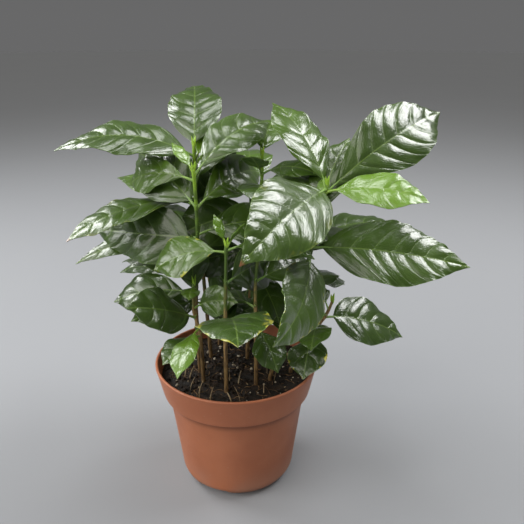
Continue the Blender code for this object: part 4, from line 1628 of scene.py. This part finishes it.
@dataclass
class PottingSoil:
    """Soil that fills the pot, with crumbs, pale grit, bark chips, husks, fibres and stalks on top.

    Lengths are in metres. The ranges that fibres and stalks are drawn from are in millimetres,
    and dents is the range of a bit's radius as a share of its size.
    """

    pot: NurseryPot
    gap: float = 0.3 * MM
    top: float = 85 * MM
    mound: float = 2.0 * MM
    lump: float = 1.1 * MM
    steps: int = 144
    rings: int = 46
    bits: tuple[Lumps, ...] = (
        Lumps("crumb", "soil_crumbs", 620, (0.5, 1.9), (0.9, 1.0, 0.75), 11),
        Lumps("grit", "soil_grit", 80, (0.5, 1.9), (1.0, 0.8, 0.7), 23),
        Lumps("bark", "soil_chips", 110, (0.7, 2.3), (1.0, 0.42, 0.25), 37),
        Lumps("husk", "soil_husks", 22, (1.1, 2.3), (1.0, 0.6, 0.35), 61),
    )
    margin: float = 2.6 * MM
    dents: Pair = (0.72, 1.12)
    size_power: float = 2.2
    lift_share: float = 0.35
    fibre_count: int = 95
    fibre_points: int = 6
    fibre_step: float = 1.7 * MM
    fibre_bend: float = 0.5
    fibre_radii: Pair = (0.16, 0.34)
    fibre_seed: int = 51
    stalk_count: int = 14
    stalk_sides: Pair = (-40, 34)
    stalk_depths: Pair = (-46, -8)
    stalk_leans: Pair = (1.0, 5.0)
    stalk_rises: Pair = (5.0, 15.0)
    stalk_radii: Pair = (0.3, 0.55)
    stalk_seed: int = 77

    def edge_radius(self) -> float:
        """Radius of the soil where its top meets the pot.

        Returns:
            The radius.
        """
        step = self.pot.height - self.pot.collar_height + self.pot.wall
        share = (self.top - step) / (self.pot.height - self.pot.lip / 2 - step)
        low = self.pot.collar_foot_radius - self.pot.wall
        return low + (self.pot.rim_radius - self.pot.lip - low) * share - self.gap

    def level(self, x: float, y: float) -> float:
        """Height of the lumpy top.

        Args:
            x: Place from left to right.
            y: Place from front to back.

        Returns:
            The height there: a low mound with broad lumps, and three layers of rough grain.
        """
        across, up = x / MM, y / MM
        reach = math.hypot(across, up) * MM / self.pot.collar_foot_radius
        lumps = math.sin(0.31 * across + 0.8) * math.cos(0.27 * up - 0.4)
        lumps += 0.6 * math.sin(0.62 * up + 0.35 * across)
        rise = (self.mound + self.lump * lumps) * max(0.0, 1.0 - reach * reach)
        rough = 0.0
        for strength, scale, layer in ((0.9, 0.35, 3.0), (0.55, 0.9, 9.0), (0.3, 1.9, 5.0)):
            rough += strength * noise.noise(Vector((across * scale, up * scale, layer)))
        return self.top + rise + rough * MM

    def build(self, finishes: dict[str, Material]) -> None:
        """Make the soil's pieces.

        Args:
            finishes: The soil's materials by name: soil, crumb, grit, bark and husk.
        """
        edge = self.edge_radius()
        profile = [(edge * ring / self.rings, self.top) for ring in range(self.rings + 1)]
        for radius, height in self.pot.inner_profile()[::-1]:
            if height + self.gap < self.top - 1 * MM:
                profile.append((radius - self.gap if radius else 0.0, height + self.gap))
        shape = self.pot.spin(profile, self.steps)
        for vertex in shape.verts:
            if vertex.co.z > self.top - 0.1 * MM:
                vertex.co.z = self.level(vertex.co.x, vertex.co.y)
        finish_piece("soil_body", shape, [finishes["soil"]], ("soil",), sharp=80.0)
        for lumps in self.bits:
            self.scatter_lumps(lumps, finishes[lumps.finish])
        self.scatter_fibres(finishes["bark"])
        self.scatter_stalks(finishes["husk"])

    def spot(self, draw: random.Random) -> Pair:
        """Draw a place on the soil, evenly over it.

        Args:
            draw: Where the random numbers come from.

        Returns:
            The place from left to right and from front to back.
        """
        radius = (self.edge_radius() - self.margin) * math.sqrt(draw.random())
        angle = draw.uniform(0.0, math.tau)
        return radius * math.cos(angle), radius * math.sin(angle)

    def scatter_lumps(self, lumps: Lumps, material: Material) -> None:
        """Scatter small uneven bits over the soil.

        Args:
            lumps: Their kind.
            material: Their material.
        """
        draw = random.Random(lumps.seed)
        shape = bmesh.new()
        small, large = lumps.sizes
        for _number in range(lumps.count):
            x, y = self.spot(draw)
            size = (small + (large - small) * draw.random() ** self.size_power) * MM
            bit = bmesh.ops.create_icosphere(shape, subdivisions=1, radius=1.0)["verts"]
            for vertex in bit:
                vertex.co *= draw.uniform(*self.dents)
            turn = Matrix.Rotation(draw.uniform(0, math.tau), 4, "Z")
            turn = turn @ Matrix.Rotation(draw.uniform(-0.6, 0.6), 4, "X")
            turn = turn @ Matrix.Rotation(draw.uniform(-0.5, 0.5), 4, "Y")
            lift = size * lumps.stretch[2] * self.lift_share
            place = Matrix.Translation((x, y, self.level(x, y) + lift))
            scale = Matrix.Diagonal((*(size * share for share in lumps.stretch), 1.0))
            bmesh.ops.transform(shape, matrix=place @ turn @ scale, verts=bit)
        finish_piece(lumps.name, shape, [material], ("soil",), sharp=180.0)

    def scatter_fibres(self, material: Material) -> None:
        """Scatter thin bent fibres and bits of old root over the soil.

        Args:
            material: Their material.
        """
        draw = random.Random(self.fibre_seed)
        shape = bmesh.new()
        for _number in range(self.fibre_count):
            x, y = self.spot(draw)
            heading = draw.uniform(0.0, math.tau)
            path = []
            for _step in range(self.fibre_points):
                if math.hypot(x, y) > self.edge_radius() - 2 * MM:
                    break
                path.append(Vector((x, y, self.level(x, y) + 0.25 * MM)))
                heading += draw.uniform(-self.fibre_bend, self.fibre_bend)
                x += self.fibre_step * math.cos(heading)
                y += self.fibre_step * math.sin(heading)
            if len(path) > 2:
                radius = draw.uniform(*self.fibre_radii) * MM
                Tube(sides=5).draw(shape, path, [radius] * (len(path) - 1) + [radius * 0.5])
        finish_piece("soil_fibres", shape, [material], ("soil",), sharp=80.0)

    def scatter_stalks(self, material: Material) -> None:
        """Stand short dry leaf stalks in the soil, as fallen seedling leaves leave them.

        Args:
            material: Their material.
        """
        draw = random.Random(self.stalk_seed)
        shape = bmesh.new()
        for _number in range(self.stalk_count):
            foot = Vector((draw.uniform(*self.stalk_sides), draw.uniform(*self.stalk_depths), 0.0)) * MM
            foot.z = self.level(foot.x, foot.y) - 1 * MM
            heading = draw.uniform(0.0, math.tau)
            lean = Vector((math.cos(heading), math.sin(heading), 0.0)) * draw.uniform(*self.stalk_leans) * MM
            rise = Vector((0.0, 0.0, draw.uniform(*self.stalk_rises) * MM))
            path = [foot + lean * share**1.6 + rise * share for share in (0, 0.3, 0.6, 0.85, 1)]
            radius = draw.uniform(*self.stalk_radii) * MM
            Tube(sides=6).draw(shape, path, [radius * size for size in (1.2, 1.0, 0.9, 0.8, 0.4)])
        finish_piece("soil_stalks", shape, [material], ("soil",), sharp=80.0)


@dataclass(frozen=True)
class Panel:
    """A soft rectangular light that faces the plant.

    Attributes:
        name: The light's name.
        size: Its width and height.
        watts: Its power.
        compass: Its direction from the plant, in degrees from +X.
        lift: Its angle over the floor, in degrees.
    """

    name: str
    size: Pair
    watts: float
    compass: float
    lift: float


@dataclass
class Studio:
    """Plain floor, soft light and the camera at the photograph's viewing angle."""

    floor_radius: float = 7.0
    floor_sides: int = 96
    camera_place: Triple = (0.0055, -0.4058, 0.3307)
    camera_pitch: float = 21.44
    camera_yaw: float = 1.91
    camera_near: float = 0.01
    focal_pixels: float = 620.0
    frame_pixels: float = 524.0
    sensor: float = 36.0
    horizon_grey: Triple = (0.139, 0.139, 0.140)
    ceiling_grey: Triple = (0.10, 0.10, 0.10)
    ceiling_start: float = 0.75
    panels: tuple[Panel, ...] = (
        Panel("left_panel", (0.52, 0.44), 9.8, 152.0, 43.0),
        Panel("left_low_panel", (0.62, 0.46), 5.6, -165.0, 23.0),
        Panel("right_panel", (0.66, 0.42), 12.0, 16.0, 48.0),
        Panel("top_panel", (0.42, 0.42), 4.2, 95.0, 76.0),
    )
    panel_reach: float = 1.2
    plant_middle: Triple = (0.0, 0.0, 0.15)
    fill_power: float = 1.8
    fill_spread: float = 60.0
    fill_compass: float = -128.0
    fill_lift: float = 43.0
    fill_reach: float = 2.0
    warm_white: Triple = (1.0, 0.965, 0.90)

    def build(self, floor_material: Material) -> None:
        """Set the studio up.

        Args:
            floor_material: Material of the floor.
        """
        self.build_floor(floor_material)
        self.build_world()
        self.build_lights()
        self.build_camera()

    def build_floor(self, material: Material) -> None:
        """Round floor that the pot stands on.

        Args:
            material: Its material.
        """
        shape = bmesh.new()
        bmesh.ops.create_circle(shape, cap_ends=True, segments=self.floor_sides, radius=self.floor_radius)
        mesh = bpy.data.meshes.new("studio_floor")
        shape.to_mesh(mesh)
        shape.free()
        mesh.materials.append(material)
        floor = bpy.data.objects.new("studio_floor", mesh)
        bpy.context.scene.collection.objects.link(floor)

    def build_world(self) -> None:
        """Grey surroundings that get darker towards the ceiling."""
        world = bpy.data.worlds.new("studio")
        bpy.context.scene.world = world
        world.use_nodes = True
        tree = world.node_tree
        where = tree.nodes.new("ShaderNodeTexCoord")
        split = tree.nodes.new("ShaderNodeSeparateXYZ")
        ramp = tree.nodes.new("ShaderNodeValToRGB")
        tree.links.new(where.outputs["Generated"], split.inputs[0])
        tree.links.new(split.outputs["Z"], ramp.inputs["Fac"])
        tree.links.new(ramp.outputs["Color"], tree.nodes["Background"].inputs["Color"])
        horizon, ceiling = ramp.color_ramp.elements
        horizon.position = 0.0
        horizon.color = (*self.horizon_grey, 1.0)
        ceiling.position = self.ceiling_start
        ceiling.color = (*self.ceiling_grey, 1.0)

    @staticmethod
    def direction(compass: float, lift: float) -> Vector:
        """Direction from the plant.

        Args:
            compass: Degrees from +X towards +Y.
            lift: Degrees over the floor.

        Returns:
            The direction, one unit long.
        """
        turn, raised = math.radians(compass), math.radians(lift)
        level = math.cos(raised)
        return Vector((level * math.cos(turn), level * math.sin(turn), math.sin(raised)))

    @staticmethod
    def hang(light: bpy.types.Light, place: Vector, away: Vector) -> None:
        """Hang a light.

        Args:
            light: The light.
            place: Where it hangs.
            away: Direction that it turns its back to.
        """
        lamp = bpy.data.objects.new(light.name, light)
        lamp.location = place
        lamp.rotation_euler = away.to_track_quat("Z", "Y").to_euler()
        bpy.context.scene.collection.objects.link(lamp)

    def build_lights(self) -> None:
        """Soft panels on both sides and overhead, and a broad even light in front."""
        for panel in self.panels:
            light = bpy.data.lights.new(panel.name, "AREA")
            light.shape = "RECTANGLE"
            light.size, light.size_y = panel.size
            light.energy = panel.watts
            away = self.direction(panel.compass, panel.lift)
            self.hang(light, Vector(self.plant_middle) + away * self.panel_reach, away)
        fill = bpy.data.lights.new("front_fill", "SUN")
        fill.energy = self.fill_power
        fill.angle = math.radians(self.fill_spread)
        fill.color = self.warm_white
        away = self.direction(self.fill_compass, self.fill_lift)
        self.hang(fill, away * self.fill_reach, away)

    def build_camera(self) -> None:
        """Camera as fitted to the pot's ellipses."""
        data = bpy.data.cameras.new("camera")
        data.sensor_width = self.sensor
        data.lens = self.sensor * self.focal_pixels / self.frame_pixels
        data.clip_start = self.camera_near
        camera = bpy.data.objects.new("camera", data)
        camera.location = self.camera_place
        camera.rotation_euler = (math.radians(90 - self.camera_pitch), 0.0, math.radians(-self.camera_yaw))
        bpy.context.scene.collection.objects.link(camera)
        bpy.context.scene.camera = camera
        bpy.context.scene.view_settings.view_transform = "Standard"


def main() -> None:
    """Build every piece in order and report it."""
    logging.basicConfig(level=logging.INFO, format="%(name)s: %(message)s")
    plant_finishes = {
        "leaf": LeafFinish().make(),
        "underside": UndersideFinish().make(),
        "rib": RibFinish().make(),
        "stem": StemFinish().make(),
    }
    soil_finishes = {
        "soil": SoilFinish().make(),
        "crumb": SoilFinish((0.012, 0.008, 0.006), (0.040, 0.024, 0.014), "soil_crumb").make(),
        "grit": GritFinish((0.52, 0.46, 0.36), (0.22, 0.17, 0.11), "pale_grit").make(),
        "bark": GritFinish((0.21, 0.125, 0.060), (0.060, 0.034, 0.018), "bark_chip").make(),
        "husk": GritFinish((0.34, 0.26, 0.155), (0.16, 0.11, 0.06), "seed_husk").make(),
    }
    pot = NurseryPot()
    pot.build(PotFinish().make())
    PottingSoil(pot).build(soil_finishes)
    blade = Blade()
    for seedling in SEEDLINGS:
        Shoot(seedling, blade).build(plant_finishes)
    Studio().build(StudioFinish().make())


if __name__ == "__main__":
    main()
